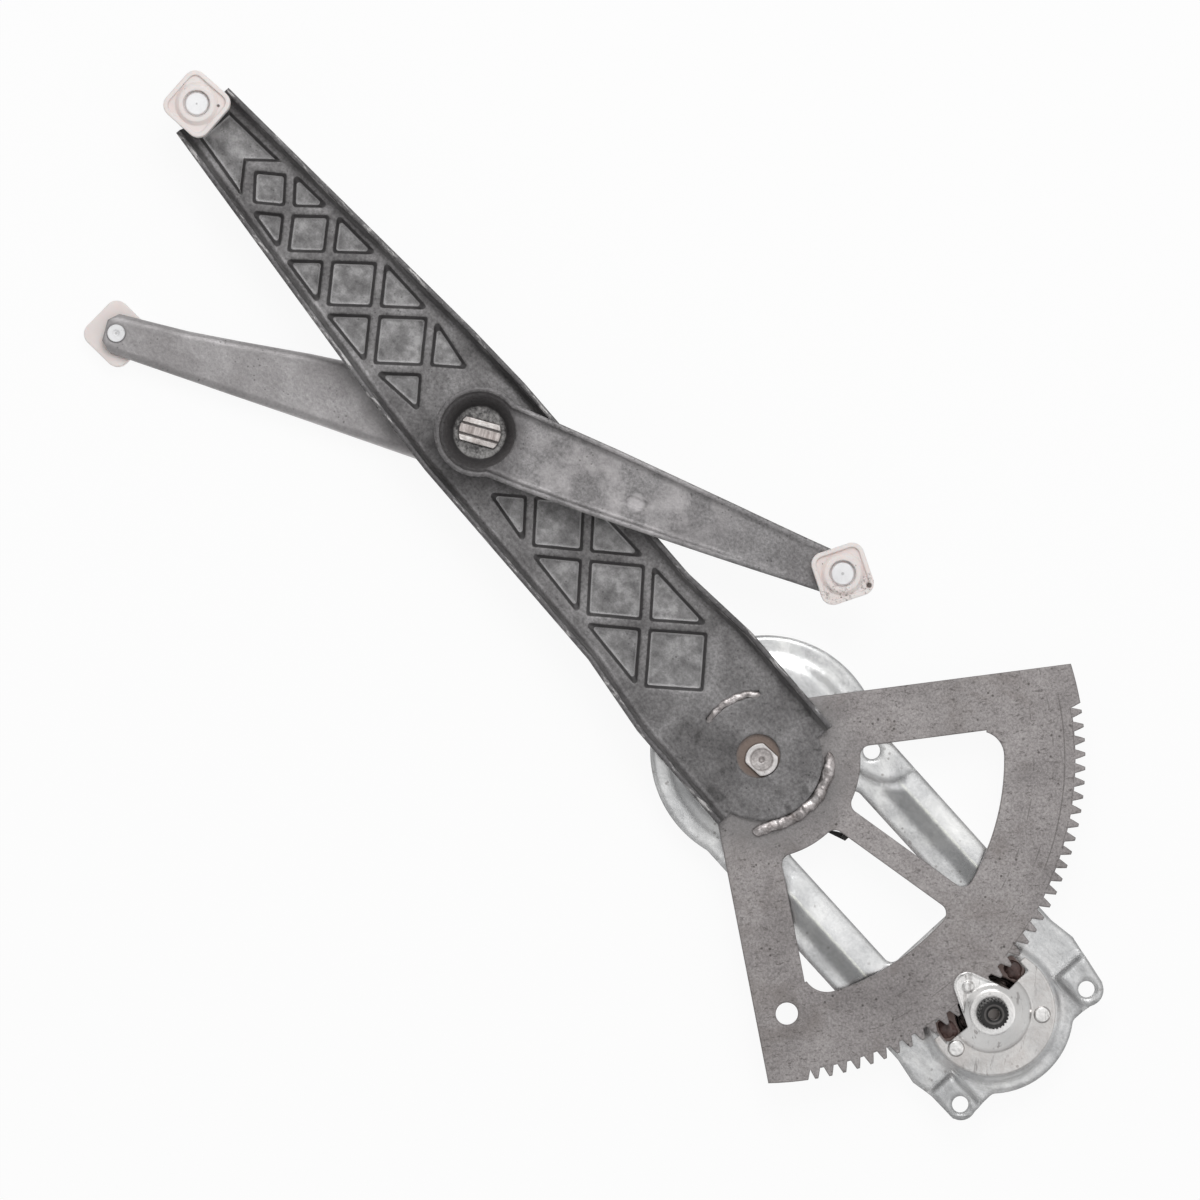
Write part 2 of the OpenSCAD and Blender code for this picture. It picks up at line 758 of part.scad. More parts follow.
// The recess between the first diamond and the slider
module tip_cell(bulge) {
  slope = (rib_root_w - rib_w) / 2 / pocket_depth;
  end = lift_reach - 9;
  cell = [[349.5, 0], [337.5, -13.3], [end, -10], [end, 10], [337.5, 13.3]];
  low = lift_web_top - pocket_depth;
  if (bulge)
    stack(cell, [[low - arm_t, 0.9], [lift_web_top - arm_t / 2, -0.5]]);
  else
    stack(cell, [[low, rib_root_w / 2 - 0.5], [lift_web_top + 0.5, rib_w / 2 - 0.5 - slope * 0.5]]);
}

module lattice(bulge) {
  tip_cell(bulge);
  lattice_group(lattice_outer, lattice_outer_half, bulge);
  lattice_group(lattice_inner, lattice_inner_half, bulge);
  for (side = [-1, 1]) {
    triangle_cell([lattice_outer[4], 0], [(lattice_outer[3] + lattice_outer[4]) / 2, side * lattice_outer_half[3]],
      [lattice_outer[4] - hub_side, side * hub_side], bulge);
    triangle_cell([lattice_inner[0], 0], [lattice_inner[0] + hub_side, side * hub_side],
      [(lattice_inner[0] + lattice_inner[1]) / 2, side * lattice_inner_half[0]], bulge);
  }
}

module lift_arm() {
  color("slategray") in_lift() intersection() {
    plate(-far, far) lift_ends();
    at_level(sector_top) pressed_tray(lift_outline, arm_t, 4, 15, lift_flange_h) {
      at_level(-sector_top) lattice(true);
      at_level(-sector_top) {
        lattice(false);
        translate([access_shift, 0]) disc(access_d / 2, -far, far);
        bead_slot(0);
        translate([cross_reach, 0]) disc(cross_pin_r + run_fit, -far, far);
        translate([lift_reach, 0]) disc(neck_r + seat_fit, -far, far);
      }
    }
  }
}

// The slot that the short weld bead fills
slot_start = -38.5;
slot_w = 2.6;

module bead_slot(fit) {
  at_level(sector_top - 1 + 2 * fit)
    rotate(slot_start + fit) rotate_extrude(angle = slot_span - 2 * fit)
      translate([slot_r + fit, 0]) square([slot_w - 2 * fit, arm_t + 2]);
}

module weld_beads() {
  color("lightgray") in_lift() {
    rotate(132) rotate_extrude(angle = 96)
      translate([arm_end_r + seat_fit, sector_top]) polygon([
        [0, 0], [bead_w, 0], [bead_w - 0.5, 0.9], [bead_w / 2, 1.8], [0.4, 2.3], [0, 2.2]
      ]);
    in_slot = slot_w - 2 * seat_fit;
    rotate(slot_start + 0.1) rotate_extrude(angle = slot_span - 0.2)
      translate([slot_r + seat_fit, sector_top]) polygon([
        [0, 0], [in_slot, 0], [in_slot, arm_t], [in_slot + 0.5, arm_t + 0.05], [in_slot - 0.4, arm_t + 1],
        [0.4, arm_t + 1], [-0.5, arm_t + 0.05], [0, arm_t]
      ]);
  }
}

// A shouldered stud with a riveted head at each end; its tail is the head behind the web
module slider_stud(web_z, shoulder_z, head_z, tail) {
  disc(neck_r, web_z - arm_t, head_z);
  disc(neck_r + 0.4, web_z, shoulder_z);
  disc(neck_r + 1.6, web_z - arm_t - tail, web_z - arm_t);
  at_level(head_z) cylinder(r1 = head_r, r2 = head_r - 0.7, h = 1.2);
}

module lift_stud() {
  color("gainsboro") in_lift() translate([lift_reach, 0])
    slider_stud(lift_web_top, pad_z - face_gap, pad_z + pad_ring_z + face_gap, 1.2);
}

// Balance arm

front_outline = balance_outline(front_hub_r, [
  [25, -17.8, 17], [60, -17, 15.6], [100, -15.3, 13.3], [136, -13.7, 11.2], [front_reach + 16, -11, 8.4]
]);

module balance_arm_front() {
  color("slategray") in_front() at_level(front_web_z) difference() {
    pressed_tray(front_outline, arm_t, 4, 14, front_flange_h + 1) {
      at_level(front_hub_z - front_web_z) cylinder(r1 = front_floor_r + 1, r2 = front_hub_r - 2.6,
        h = front_web_z - front_hub_z + arm_t / 2);
      union() {
        at_level(front_hub_z + arm_t - front_web_z) cylinder(r1 = front_floor_r, r2 = front_hub_r - 3.4,
          h = front_web_z - front_hub_z + 1.2);
        translate([front_reach, 0]) disc(neck_r + seat_fit, -far, far);
        plate(-far, 0) key_outline(seat_fit);
        plate(arm_t - 0.4, arm_t + 1) translate([76, -3.8]) offset(r = 1.9) square([5.5, 0.2], center = true);
      }
    }
    above_line([0, front_flange_h], [front_reach - 20, arm_t + 0.3]);
    translate([front_reach, 0]) trim_round(9);
  }
}

rear_outline = balance_outline(20, [
  [25, -18, 18.8], [83, -14.7, 15.2], [114, -12, 13.5], [138, -10.2, 12], [rear_reach + 16, -9.2, 9]
]);

module balance_arm_rear() {
  color("slategray") in_rear() at_level(rear_web_top) mirror([0, 0, 1]) difference() {
    pressed_tray(rear_outline, arm_t, 3, 8, rear_flange_h + 1) {
      at_level(rear_web_top - rear_hub_top) cylinder(r1 = 13, r2 = 16, h = rear_hub_top - rear_web_top + arm_t / 2);
      union() {
        at_level(rear_web_top - rear_hub_z) cylinder(r1 = 12, r2 = 15, h = rear_hub_top - rear_web_top + 0.5);
        translate([rear_reach, 0]) disc(neck_r + seat_fit, -far, far);
        plate(-far, 0) key_outline(seat_fit);
      }
    }
    above_line([10, rear_flange_h], [122, arm_t + 0.5]);
    translate([rear_reach, 0]) trim_chamfered(9.6);
  }
}

// What lies over a line that slopes from one flange height to another
module above_line(from, to) {
  rotate([90, 0, 0])
    linear_extrude(far, center = true)
      polygon([[-far, from[1]], from, to, [far, to[1]], [far, far], [-far, far]]);
}

// What is cut away round the tips of the arms
module trim_round(r) {
  plate(-far, far) difference() {
    translate([0, -far / 2]) square(far);
    circle(r);
  }
}

module trim_chamfered(half) {
  plate(-far, far) difference() {
    translate([0, -far / 2]) square(far);
    polygon([[-1, -half - 1], [0, -half], [5.2, -half / 2], [5.2, half / 2], [0, half], [-1, half + 1]]);
  }
}

// The key keeps the two halves of the balance arm in line
module key_outline(fit) {
  rotate(key_turn)
    intersection() {
      square([key_l + 2 * fit, key_w + 2 * fit], center = true);
      circle(key_l / 2 + fit);
    }
}

module cross_pin() {
  color("gray") {
    in_front() difference() {
      plate(lift_web_top - 1, front_hub_z + arm_t + 1.7) key_outline(0);
      rotate(key_turn) for (side = [-1, 1])
        translate([-key_l, side * 2.4 - 0.5, front_hub_z + arm_t + 0.9]) cube([2 * key_l, 1, 2]);
    }
    in_front() disc(cross_pin_r, sector_top - face_gap, lift_web_top + face_gap);
    in_rear() {
      plate(rear_hub_z, sector_top + 0.5) key_outline(0);
      at_level(rear_hub_z - 2.2) cylinder(r1 = 9.5, r2 = 11, h = 2.2);
    }
  }
}

module front_stud() {
  color("gainsboro") in_front() translate([front_reach, 0])
    slider_stud(front_web_top, pad_z - face_gap, pad_z + pad_ring_z + face_gap, 0.3);
}

module rear_stud() {
  color("gainsboro") in_rear() translate([rear_reach, 0])
    at_level(rear_web_top) mirror([0, 0, 1]) {
      disc(neck_r, 0, arm_t + 2.4 + pad_ring_z + 2 * face_gap);
      disc(neck_r + 0.7, arm_t, arm_t + 2.4);
      difference() {
        disc(neck_r - 0.1, -1, 0);
        at_level(-1.1) cylinder(r1 = 1.8, r2 = 1, h = 0.7);
      }
      at_level(arm_t + 2.4 + pad_ring_z + 2 * face_gap) cylinder(r1 = head_r, r2 = head_r - 0.7, h = 1.2);
    }
}

// Slider pads

pad_ring_z = pad_t - 2.2;

module pad_outline(inset) {
  offset(r = pad_corner - inset) square(pad_side - 2 * pad_corner, center = true);
}

// A nylon pad: dished face, raised rim and a raised ring round the rivet head
module slider_pad() {
  difference() {
    union() {
      difference() {
        plate(0, pad_t - 0.8) pad_outline(0);
        plate(pad_t - 2, pad_t) pad_outline(2);
      }
      at_level(pad_t - 2.1) cylinder(r1 = 9.6, r2 = 8, h = 2.1);
    }
    disc(head_r + 0.5, pad_ring_z, pad_t + 1);
    disc(neck_r + run_fit, -1, pad_t + 1);
  }
}

module slider_lift() {
  color("ivory") in_lift() translate([lift_reach, 0, pad_z]) rotate(lift_pad_turn) slider_pad();
}

module slider_front() {
  color("ivory") in_front() translate([front_reach, 0, pad_z]) rotate(front_pad_turn) slider_pad();
}

module slider_rear() {
  color("ivory") in_rear() translate([rear_reach, 0, rear_web_z - 2.4 - face_gap])
    mirror([0, 0, 1]) rotate(rear_pad_turn) slider_pad();
}

// Crank spindle, pinion and wrap spring clutch

claw_back = back_z + cup_t + free_gap;

module crank_spindle() {
  color("black") at_crank() difference() {
    union() {
      plate(cover_top_z + cover_t + 1, spindle_top) union() {
        circle(spline_r - 0.5);
        for (i = [0:spline_count - 1])
          rotate(i * 360 / spline_count) translate([spline_r - 1, -0.45]) square([1, 0.9]);
      }
      disc(spline_r, pinion_top + face_gap, cover_top_z + cover_t + 1);
      disc(shank_r, claw_back, pinion_top + face_gap);
    }
    disc(thread_r, spindle_top - thread_l, spindle_top + 1);
    at_level(spindle_top - 1) cylinder(r1 = thread_r, r2 = 4, h = 1.01);
  }
}

module pinion() {
  phase = 180 + 180 / pinion_teeth - (sector_turn + tooth_step / 2) * ring_teeth / pinion_teeth;
  color("dimgray") at_crank() difference() {
    union() {
      plate(pinion_z, pinion_top) rotate(phase)
        polygon([for (i = [0:pinion_teeth - 1]) each tooth(pinion_teeth, i * 360 / pinion_teeth)]);
      disc(pinion_root_r, pinion_z - 2, pinion_z);
      disc(drum_r - 3, pinion_z - 4, pinion_z - 2);
      plate(claw_back + 2, pinion_z - 4) clutch_claw(130, 180, shank_r + 1.5);
    }
    disc(shank_r + seat_fit, -far, far);
  }
}

// Part of a ring between the shank and the wrap spring
module clutch_claw(span, turn, inner) {
  outer = drum_r - 2.2;
  steps = 12;
  rotate(turn - span / 2) polygon(concat(
    [for (i = [0:steps]) polar(outer, span * i / steps)],
    [for (i = [steps:-1:0]) polar(inner, span * i / steps)]
  ));
}

module clutch_driver() {
  color("gray") at_crank() difference() {
    union() {
      plate(claw_back + 2, pinion_z - 4 - free_gap) clutch_claw(120, 0, shank_r - 0.5);
      disc(shank_r + 1.2, claw_back + 2, claw_back + 5);
    }
    disc(shank_r + seat_fit, -far, far);
  }
}

// Wrap spring: a close helix of round wire inside the drum
module clutch_spring() {
  wire_r = 0.7;
  mid = drum_r - 0.3 - wire_r;
  per_turn = 20;
  turns = 4;
  sides = 6;
  n = per_turn * turns;
  low = claw_back + 2.5;
  pitch = 2 * wire_r + 0.2;
  rings = [for (i = [0:n]) let(a = i * 360 / per_turn, z = low + pitch * i / per_turn)
    [for (k = [0:sides - 1]) let(b = k * 360 / sides)
      [(mid + wire_r * cos(b)) * cos(a), (mid + wire_r * cos(b)) * sin(a), z + wire_r * sin(b)]]];
  color("silver") at_crank() polyhedron(
    [for (ring = rings) each ring],
    concat(
      [[for (k = [0:sides - 1]) k]],
      [for (i = [0:n - 1]) for (k = [0:sides - 1]) let(a = i * sides + k, b = i * sides + (k + 1) % sides)
        [a, a + sides, b + sides]],
      [for (i = [0:n - 1]) for (k = [0:sides - 1]) let(a = i * sides + k, b = i * sides + (k + 1) % sides)
        [a, b + sides, b]],
      [[for (k = [sides - 1:-1:0]) n * sides + k]]
    )
  );
}

base_plate();
pinion_cover();
clutch_housing();
housing_rivets();
pivot_bush();
counter_spring();
sector_gear();
lift_arm();
weld_beads();
pivot_shaft();
pivot_retainer();
lift_stud();
balance_arm_front();
balance_arm_rear();
cross_pin();
front_stud();
rear_stud();
slider_lift();
slider_front();
slider_rear();
crank_spindle();
pinion();
clutch_driver();
clutch_spring();
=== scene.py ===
import json
import math
import bpy
import bmesh
from mathutils import Matrix, Vector, noise


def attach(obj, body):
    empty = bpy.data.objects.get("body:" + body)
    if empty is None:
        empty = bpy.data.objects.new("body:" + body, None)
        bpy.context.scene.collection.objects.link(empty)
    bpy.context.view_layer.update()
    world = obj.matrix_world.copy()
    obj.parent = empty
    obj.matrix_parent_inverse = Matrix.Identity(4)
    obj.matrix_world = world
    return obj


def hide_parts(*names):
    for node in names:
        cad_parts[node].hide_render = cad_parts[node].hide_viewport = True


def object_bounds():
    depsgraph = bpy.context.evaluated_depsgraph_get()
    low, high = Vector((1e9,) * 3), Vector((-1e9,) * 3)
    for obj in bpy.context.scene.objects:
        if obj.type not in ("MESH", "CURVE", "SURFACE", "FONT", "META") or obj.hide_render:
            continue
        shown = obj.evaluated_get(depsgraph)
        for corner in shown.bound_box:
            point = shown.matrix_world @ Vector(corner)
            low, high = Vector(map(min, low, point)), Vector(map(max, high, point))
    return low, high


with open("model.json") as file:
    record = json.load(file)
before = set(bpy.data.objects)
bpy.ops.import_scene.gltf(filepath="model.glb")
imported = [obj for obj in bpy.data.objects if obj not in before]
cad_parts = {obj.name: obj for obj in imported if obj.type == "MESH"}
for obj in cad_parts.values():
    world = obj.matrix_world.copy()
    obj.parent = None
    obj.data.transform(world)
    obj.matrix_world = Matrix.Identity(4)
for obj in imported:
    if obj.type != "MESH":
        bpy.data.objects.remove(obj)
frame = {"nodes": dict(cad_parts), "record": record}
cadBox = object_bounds()
nodes = frame["nodes"]
slotOf = {row["node"]: row["material_slot"] for row in frame["record"]["subparts"]}
scene = bpy.context.scene
scene.view_settings.view_transform = "Standard"


# A step of some length in the plane of the sheets
def heading(degrees, length=1.0):
    turn = math.radians(degrees)
    return Vector((length * math.cos(turn), length * math.sin(turn), 0))


# Headings in degrees and places in metres, in the part's frame
photoTurn = 47.65  # the photo's right-hand side
liftTurn = 178.4
frontTurn = 26.3
rearTurn = 212.3
keyTurn = frontTurn + 6
photoRight = heading(photoTurn)
photoUp = heading(photoTurn + 90)
middle = Vector((-0.27, 0, 0))
pivot = Vector((-0.173, 0, 0))
crank = Vector((-0.021, 0, 0))
cross = pivot + heading(liftTurn, 0.1918)  # where the balance arm turns on the lift arm
accessPlace = pivot + heading(liftTurn, 0.0022)  # hole in the arm that shows the sector's face
dimplePlace = cross + Matrix.Rotation(math.radians(frontTurn), 3, "Z") @ Vector((0.076, -0.0038, 0))
liftSlide = Vector((-0.55585, 0.01069, 0))
frontSlide = Vector((-0.21018, 0.08175, 0))
rearSlide = Vector((-0.50698, -0.08456, 0))

cameraView = {"width": 0.5338, "distance": 3.0, "centre": (-0.2738, -0.0053), "level": 0.0005, "sensor": 36,
              "farthest": 50}


def makeCamera():
    view = cameraView
    data = bpy.data.cameras.new("camera")
    data.sensor_width = view["sensor"]
    data.lens = view["sensor"] * view["distance"] / view["width"]
    data.clip_end = view["farthest"]
    camera = bpy.data.objects.new("camera", data)
    camera.location = (*view["centre"], view["level"] + view["distance"])
    camera.rotation_euler = (0, 0, math.radians(photoTurn))
    scene.collection.objects.link(camera)
    scene.camera = camera
    print("camera placed")


# Helpers for the shaders; most take the node tree first and give back the socket that comes out

def newMaterial(name):
    made = bpy.data.materials.new(name)
    made.use_nodes = True
    made.node_tree.nodes.clear()
    return made, made.node_tree


def add(tree, kind, values=None, **settings):
    node = tree.nodes.new(kind)
    for key, value in settings.items():
        setattr(node, key, value)
    for key, value in (values or {}).items():
        socket = node.inputs[key]
        if isinstance(value, bpy.types.NodeSocket):
            tree.links.new(value, socket)
        else:
            socket.default_value = value
    return node


def maths(tree, kind, *values):
    return add(tree, "ShaderNodeMath", dict(enumerate(values)), operation=kind).outputs[0]


def times(tree, first, second):
    return maths(tree, "MULTIPLY", first, second)


# Stops are pairs of a position and a grey or a colour
def ramp(tree, factor, stops):
    node = add(tree, "ShaderNodeValToRGB", {"Fac": factor})
    elements = node.color_ramp.elements
    while len(elements) > 1:
        elements.remove(elements[-1])
    for i, (position, colour) in enumerate(stops):
        element = elements[0] if i == 0 else elements.new(position)
        element.position = position
        element.color = (colour, colour, colour, 1) if isinstance(colour, (int, float)) else (*colour, 1)
    return node.outputs["Color"]


mixSockets = {"factor": 0, "first": 6, "second": 7, "result": 2}  # of a Mix node set to colour


def mix(tree, factor, first, second, blend="MIX"):
    node = add(tree, "ShaderNodeMix", data_type="RGBA", blend_type=blend)
    for key, value in (("factor", factor), ("first", first), ("second", second)):
        socket = node.inputs[mixSockets[key]]
        if isinstance(value, bpy.types.NodeSocket):
            tree.links.new(value, socket)
        else:
            socket.default_value = value if key == "factor" else (*value, 1)
    return node.outputs[mixSockets["result"]]


# A share of new colour where the mask is 1; mark holds the share and the paint
def tint(tree, colour, mask, mark):
    return mix(tree, times(tree, mask, mark["share"]), colour, mark["paint"])


# 0 at the first value, 1 at the second
def fade(tree, value, limits):
    return add(tree, "ShaderNodeMapRange", {
        "Value": value, "From Min": limits[0], "From Max": limits[1]}).outputs["Result"]


# 1 between two values and 0 outside them, with soft ends
def band(tree, value, limits, soft):
    low, high = limits
    up = fade(tree, value, (low - soft, low))
    return times(tree, up, maths(tree, "SUBTRACT", 1.0, fade(tree, value, (high, high + soft))))


# Noise, turned and then stretched along its own X or Y
def grain(tree, coords, scale, detail=4, rough=0.55, stretch=(1, 1, 1), turn=0, warp=0):
    turned = add(tree, "ShaderNodeVectorRotate", {
        "Vector": coords, "Angle": math.radians(turn)}, rotation_type="Z_AXIS")
    mapping = add(tree, "ShaderNodeMapping", {"Vector": turned.outputs["Vector"], "Scale": stretch})
    return add(tree, "ShaderNodeTexNoise", {
        "Vector": mapping.outputs["Vector"], "Scale": scale, "Detail": detail, "Roughness": rough,
        "Distortion": warp}).outputs["Fac"]


# Noise cut into patches: least below the first limit, 1 above the second
def patches(tree, coords, limits, least=0.0, **noiseSettings):
    return ramp(tree, grain(tree, coords, **noiseSettings), [(limits[0], least), (limits[1], 1.0)])


def spots(tree, coords, scale, size, soft):
    cells = add(tree, "ShaderNodeTexVoronoi", {"Vector": coords, "Scale": scale, "Randomness": 1.0})
    return ramp(tree, cells.outputs["Distance"], [(size, 1.0), (size + soft, 0.0)])


edgeRays = 6  # samples of each rounded edge


def roundedNormal(tree, radius):
    return add(tree, "ShaderNodeBevel", {"Radius": radius}, samples=edgeRays).outputs["Normal"]


# How far a point lies on a rounded edge: 0 on a flat face, 1 on a sharp corner
def edgeMask(tree, radius, limits):
    plain = add(tree, "ShaderNodeNewGeometry").outputs["Normal"]
    match = add(tree, "ShaderNodeVectorMath", {
        0: roundedNormal(tree, radius), 1: plain}, operation="DOT_PRODUCT").outputs["Value"]
    return ramp(tree, match, [(limits[0], 1.0), (limits[1], 0.0)])


# Coordinates measured from a place and turned with a piece
def local(tree, coords, place, turn=0):
    moved = add(tree, "ShaderNodeVectorMath", {0: coords, 1: tuple(place)}, operation="SUBTRACT")
    return add(tree, "ShaderNodeVectorRotate", {
        "Vector": moved.outputs["Vector"], "Angle": math.radians(-turn)},
        rotation_type="Z_AXIS").outputs["Vector"]


def along(tree, vector, axis):
    return add(tree, "ShaderNodeSeparateXYZ", {"Vector": vector}).outputs[axis]


# Distance from a place in the plane of the sheet
def radial(tree, coords, place):
    flat = add(tree, "ShaderNodeVectorMath", {
        0: local(tree, coords, place), 1: (1, 1, 0)}, operation="MULTIPLY")
    return add(tree, "ShaderNodeVectorMath", {
        0: flat.outputs["Vector"]}, operation="LENGTH").outputs["Value"]


# What all metal finishes share: where their tones change and how deep their bump is
metalLook = {
    "cloudGrain": {"detail": 5, "rough": 0.62, "warp": 0.5}, "cloudStops": (0.32, 0.5, 0.68),
    "streakGrain": {"detail": 6, "rough": 0.65, "stretch": (0.12, 1, 1)}, "streakTones": [(0.3, 0.25), (0.7, 0.75)],
    "fleckGrain": {"detail": 5, "rough": 0.7}, "fleckTones": [(0.36, 0.1), (0.64, 0.9)], "fleckDepth": 0.0003,
    "speckSize": 0.12, "speckSoft": 0.1, "speckPatches": {"limits": (0.5, 0.6), "scale": 70},
    "edgeLimits": (0.75, 0.97), "wornTones": [(0.4, 0.0), (0.6, 1.0)],
    "roughStops": (0.3, 0.7), "roughSpread": (0.1, -0.08),
    "waveGrain": {"detail": 3, "rough": 0.5}, "waveDepth": 0.003}


# A metal finish: dark and light tones in clouds, streaks along one way, specks, worn edges and fine bump; on the
# gear finishes the pale worn edges are partly a painted highlight;
# detail adds what only one piece shows
def metal(name, finish, detail=None):
    look = metalLook
    made, tree = newMaterial(name)
    coords = add(tree, "ShaderNodeTexCoord").outputs["Object"]
    clouds = grain(tree, coords, finish["cloudScale"], **look["cloudGrain"])
    tones = (finish["dark"], finish["middle"], finish["light"])
    colour = ramp(tree, clouds, list(zip(look["cloudStops"], tones)))
    streaks = grain(tree, coords, finish["streakScale"], turn=-finish["turn"], **look["streakGrain"])
    colour = mix(tree, finish["streak"], colour, ramp(tree, streaks, look["streakTones"]), "OVERLAY")
    flecks = grain(tree, coords, finish["fleckScale"], **look["fleckGrain"])
    colour = mix(tree, finish["fleck"], colour, ramp(tree, flecks, look["fleckTones"]), "OVERLAY")
    if detail:
        colour = detail(tree, coords, colour)
    specks = times(tree, spots(tree, coords, finish["speckScale"], look["speckSize"], look["speckSoft"]),
                   patches(tree, coords, **look["speckPatches"]))
    colour = tint(tree, colour, specks, {"share": finish["speck"], "paint": finish["speckColour"]})
    worn = times(tree, edgeMask(tree, finish["edge"], look["edgeLimits"]), ramp(tree, flecks, look["wornTones"]))
    colour = tint(tree, colour, worn, {"share": finish["wear"], "paint": finish["worn"]})
    rough = ramp(tree, clouds, [
        (stop, finish["rough"] + spread) for stop, spread in zip(look["roughStops"], look["roughSpread"])])
    bump = add(tree, "ShaderNodeBump", {
        "Height": flecks, "Strength": finish["bump"], "Distance": look["fleckDepth"],
        "Normal": roundedNormal(tree, finish["edge"])})
    waves = grain(tree, coords, finish["waveScale"], **look["waveGrain"])
    bump = add(tree, "ShaderNodeBump", {
        "Height": waves, "Strength": finish["wave"], "Distance": look["waveDepth"],
        "Normal": bump.outputs["Normal"]})
    shader = add(tree, "ShaderNodeBsdfPrincipled", {
        "Base Color": colour, "Metallic": finish["metallic"], "Roughness": rough,
        "Normal": bump.outputs["Normal"]})
    add(tree, "ShaderNodeOutputMaterial", {"Surface": shader.outputs["BSDF"]})
    return made


# Moulded nylon: ivory with a faint blush, soft light inside, dirt specks, a few rubbed marks and a dot of painted
# shade for a pin hole
def nylon(name, finish):
    made, tree = newMaterial(name)
    coords = add(tree, "ShaderNodeTexCoord").outputs["Object"]
    tones = (finish["ivory"], finish["blush"])
    colour = ramp(tree, grain(tree, coords, **finish["blushGrain"]), list(zip(finish["blushStops"], tones)))
    specks = times(tree, spots(tree, coords, finish["speckScale"], finish["speckSize"], finish["speckSoft"]),
                   patches(tree, coords, **finish["speckPatches"]))
    colour = mix(tree, specks, colour, finish["dirtAndShade"])
    rubbing = patches(tree, coords, **finish["rubbing"])
    for place, size, share in finish["marks"]:
        near = fade(tree, radial(tree, coords, place), (size * finish["markSpread"], size))
        if size > finish["rubbedFrom"]:
            near = times(tree, near, rubbing)
        colour = tint(tree, colour, near, {"share": share, "paint": finish["dirtAndShade"]})
    bump = add(tree, "ShaderNodeBump", {
        "Height": grain(tree, coords, **finish["bumpGrain"]), "Strength": finish["bump"],
        "Distance": finish["bumpDepth"], "Normal": roundedNormal(tree, finish["edge"])})
    shader = add(tree, "ShaderNodeBsdfPrincipled", {
        "Base Color": colour, "Roughness": finish["rough"], "Subsurface Weight": finish["glow"],
        "Subsurface Scale": finish["glowDepth"], "Subsurface Radius": finish["glowColour"],
        "Normal": bump.outputs["Normal"]})
    add(tree, "ShaderNodeOutputMaterial", {"Surface": shader.outputs["BSDF"]})
    return made


# The lift arm: mottled pocket floors with pale rims that are partly edge wear and partly painted highlight, painted
# shade on the pocket walls and the flanges, soot round the welds, rubbed flanges
liftLook = {
    "floor": {"levels": (0.0024, 0.0011), "share": 0.85, "grain": {"scale": 130, "detail": 7, "rough": 0.72},
              "tones": [(0.35, (0.12, 0.117, 0.118)), (0.5, (0.25, 0.245, 0.246)), (0.63, (0.42, 0.413, 0.415))]},
    "lip": {"levels": (0.0013, 0.0016), "soft": 0.0002, "share": 0.8, "paint": (0.72, 0.71, 0.715),
            "patches": {"limits": (0.4, 0.6), "least": 0.3, "scale": 60}},
    "rim": {"radius": 0.0012, "limits": (0.8, 0.99), "share": 0.85, "paint": (0.85, 0.84, 0.845)},
    "wall": {"levels": (0.0017, 0.0038), "soft": 0.0002, "share": 0.72, "paint": (0.062, 0.059, 0.06)},
    "soot": {"reach": (0.02, 0.037), "soft": 0.006, "share": 0.5, "paint": (0.03, 0.028, 0.027),
             "patches": {"limits": (0.56, 0.66), "scale": 120, "rough": 0.6, "warp": 0.4}},
    "flange": {"levels": (0.0075, 0.0105), "share": 0.55, "paint": (0.085, 0.081, 0.084)},
    "rubbed": {"share": 0.75, "paint": (0.6, 0.585, 0.575), "patches": {
        "limits": (0.54, 0.62), "scale": 330, "detail": 5, "rough": 0.75, "stretch": (0.25, 1, 1),
        "turn": -liftTurn}}}


def liftDetail(tree, coords, colour):
    look = liftLook
    level = along(tree, coords, "Z")
    floor = fade(tree, level, look["floor"]["levels"])
    mottle = ramp(tree, grain(tree, coords, **look["floor"]["grain"]), look["floor"]["tones"])
    colour = mix(tree, times(tree, floor, look["floor"]["share"]), colour, mottle)
    # The pale lip at each wall's foot and the pale rim of each floor are partly edge wear and partly a painted
    # highlight
    lip = band(tree, level, look["lip"]["levels"], look["lip"]["soft"])
    lip = times(tree, lip, patches(tree, coords, **look["lip"]["patches"]))
    colour = tint(tree, colour, lip, look["lip"])
    rim = times(tree, edgeMask(tree, look["rim"]["radius"], look["rim"]["limits"]), floor)
    colour = tint(tree, colour, rim, look["rim"])
    # Painted shade: the pocket walls are darkened all round
    wall = band(tree, level, look["wall"]["levels"], look["wall"]["soft"])
    colour = tint(tree, colour, wall, look["wall"])
    soot = band(tree, radial(tree, coords, pivot), look["soot"]["reach"], look["soot"]["soft"])
    soot = times(tree, patches(tree, coords, **look["soot"]["patches"]), soot)
    colour = tint(tree, colour, soot, look["soot"])
    # Painted shade: the raised flanges are darkened
    flange = fade(tree, level, look["flange"]["levels"])
    colour = tint(tree, colour, flange, look["flange"])
    rubbed = times(tree, patches(tree, coords, **look["rubbed"]["patches"]), flange)
    return tint(tree, colour, rubbed, look["rubbed"])


# The front arm: dark hub with a scuffed floor, pale blotches in the middle, plain towards the slider
frontLook = {
    "blotch": {"along": (0.035, 0.1), "soft": 0.03, "share": 0.55, "paint": (0.55, 0.525, 0.53),
               "patches": {"limits": (0.42, 0.62), "scale": 75, "detail": 6, "rough": 0.62}},
    "dimple": {"reach": (0.0045, 0.0025), "share": 0.45, "paint": (0.68, 0.65, 0.66)},
    "hub": {"reach": (0.0245, 0.0125), "share": 0.85, "paint": (0.045, 0.042, 0.043)},
    "hubFloor": {"levels": (0.0072, 0.0062), "share": 0.8, "grain": {"scale": 420, "detail": 5, "rough": 0.7},
                 "tones": [(0.38, (0.06, 0.058, 0.058)), (0.62, (0.4, 0.39, 0.38))]}}


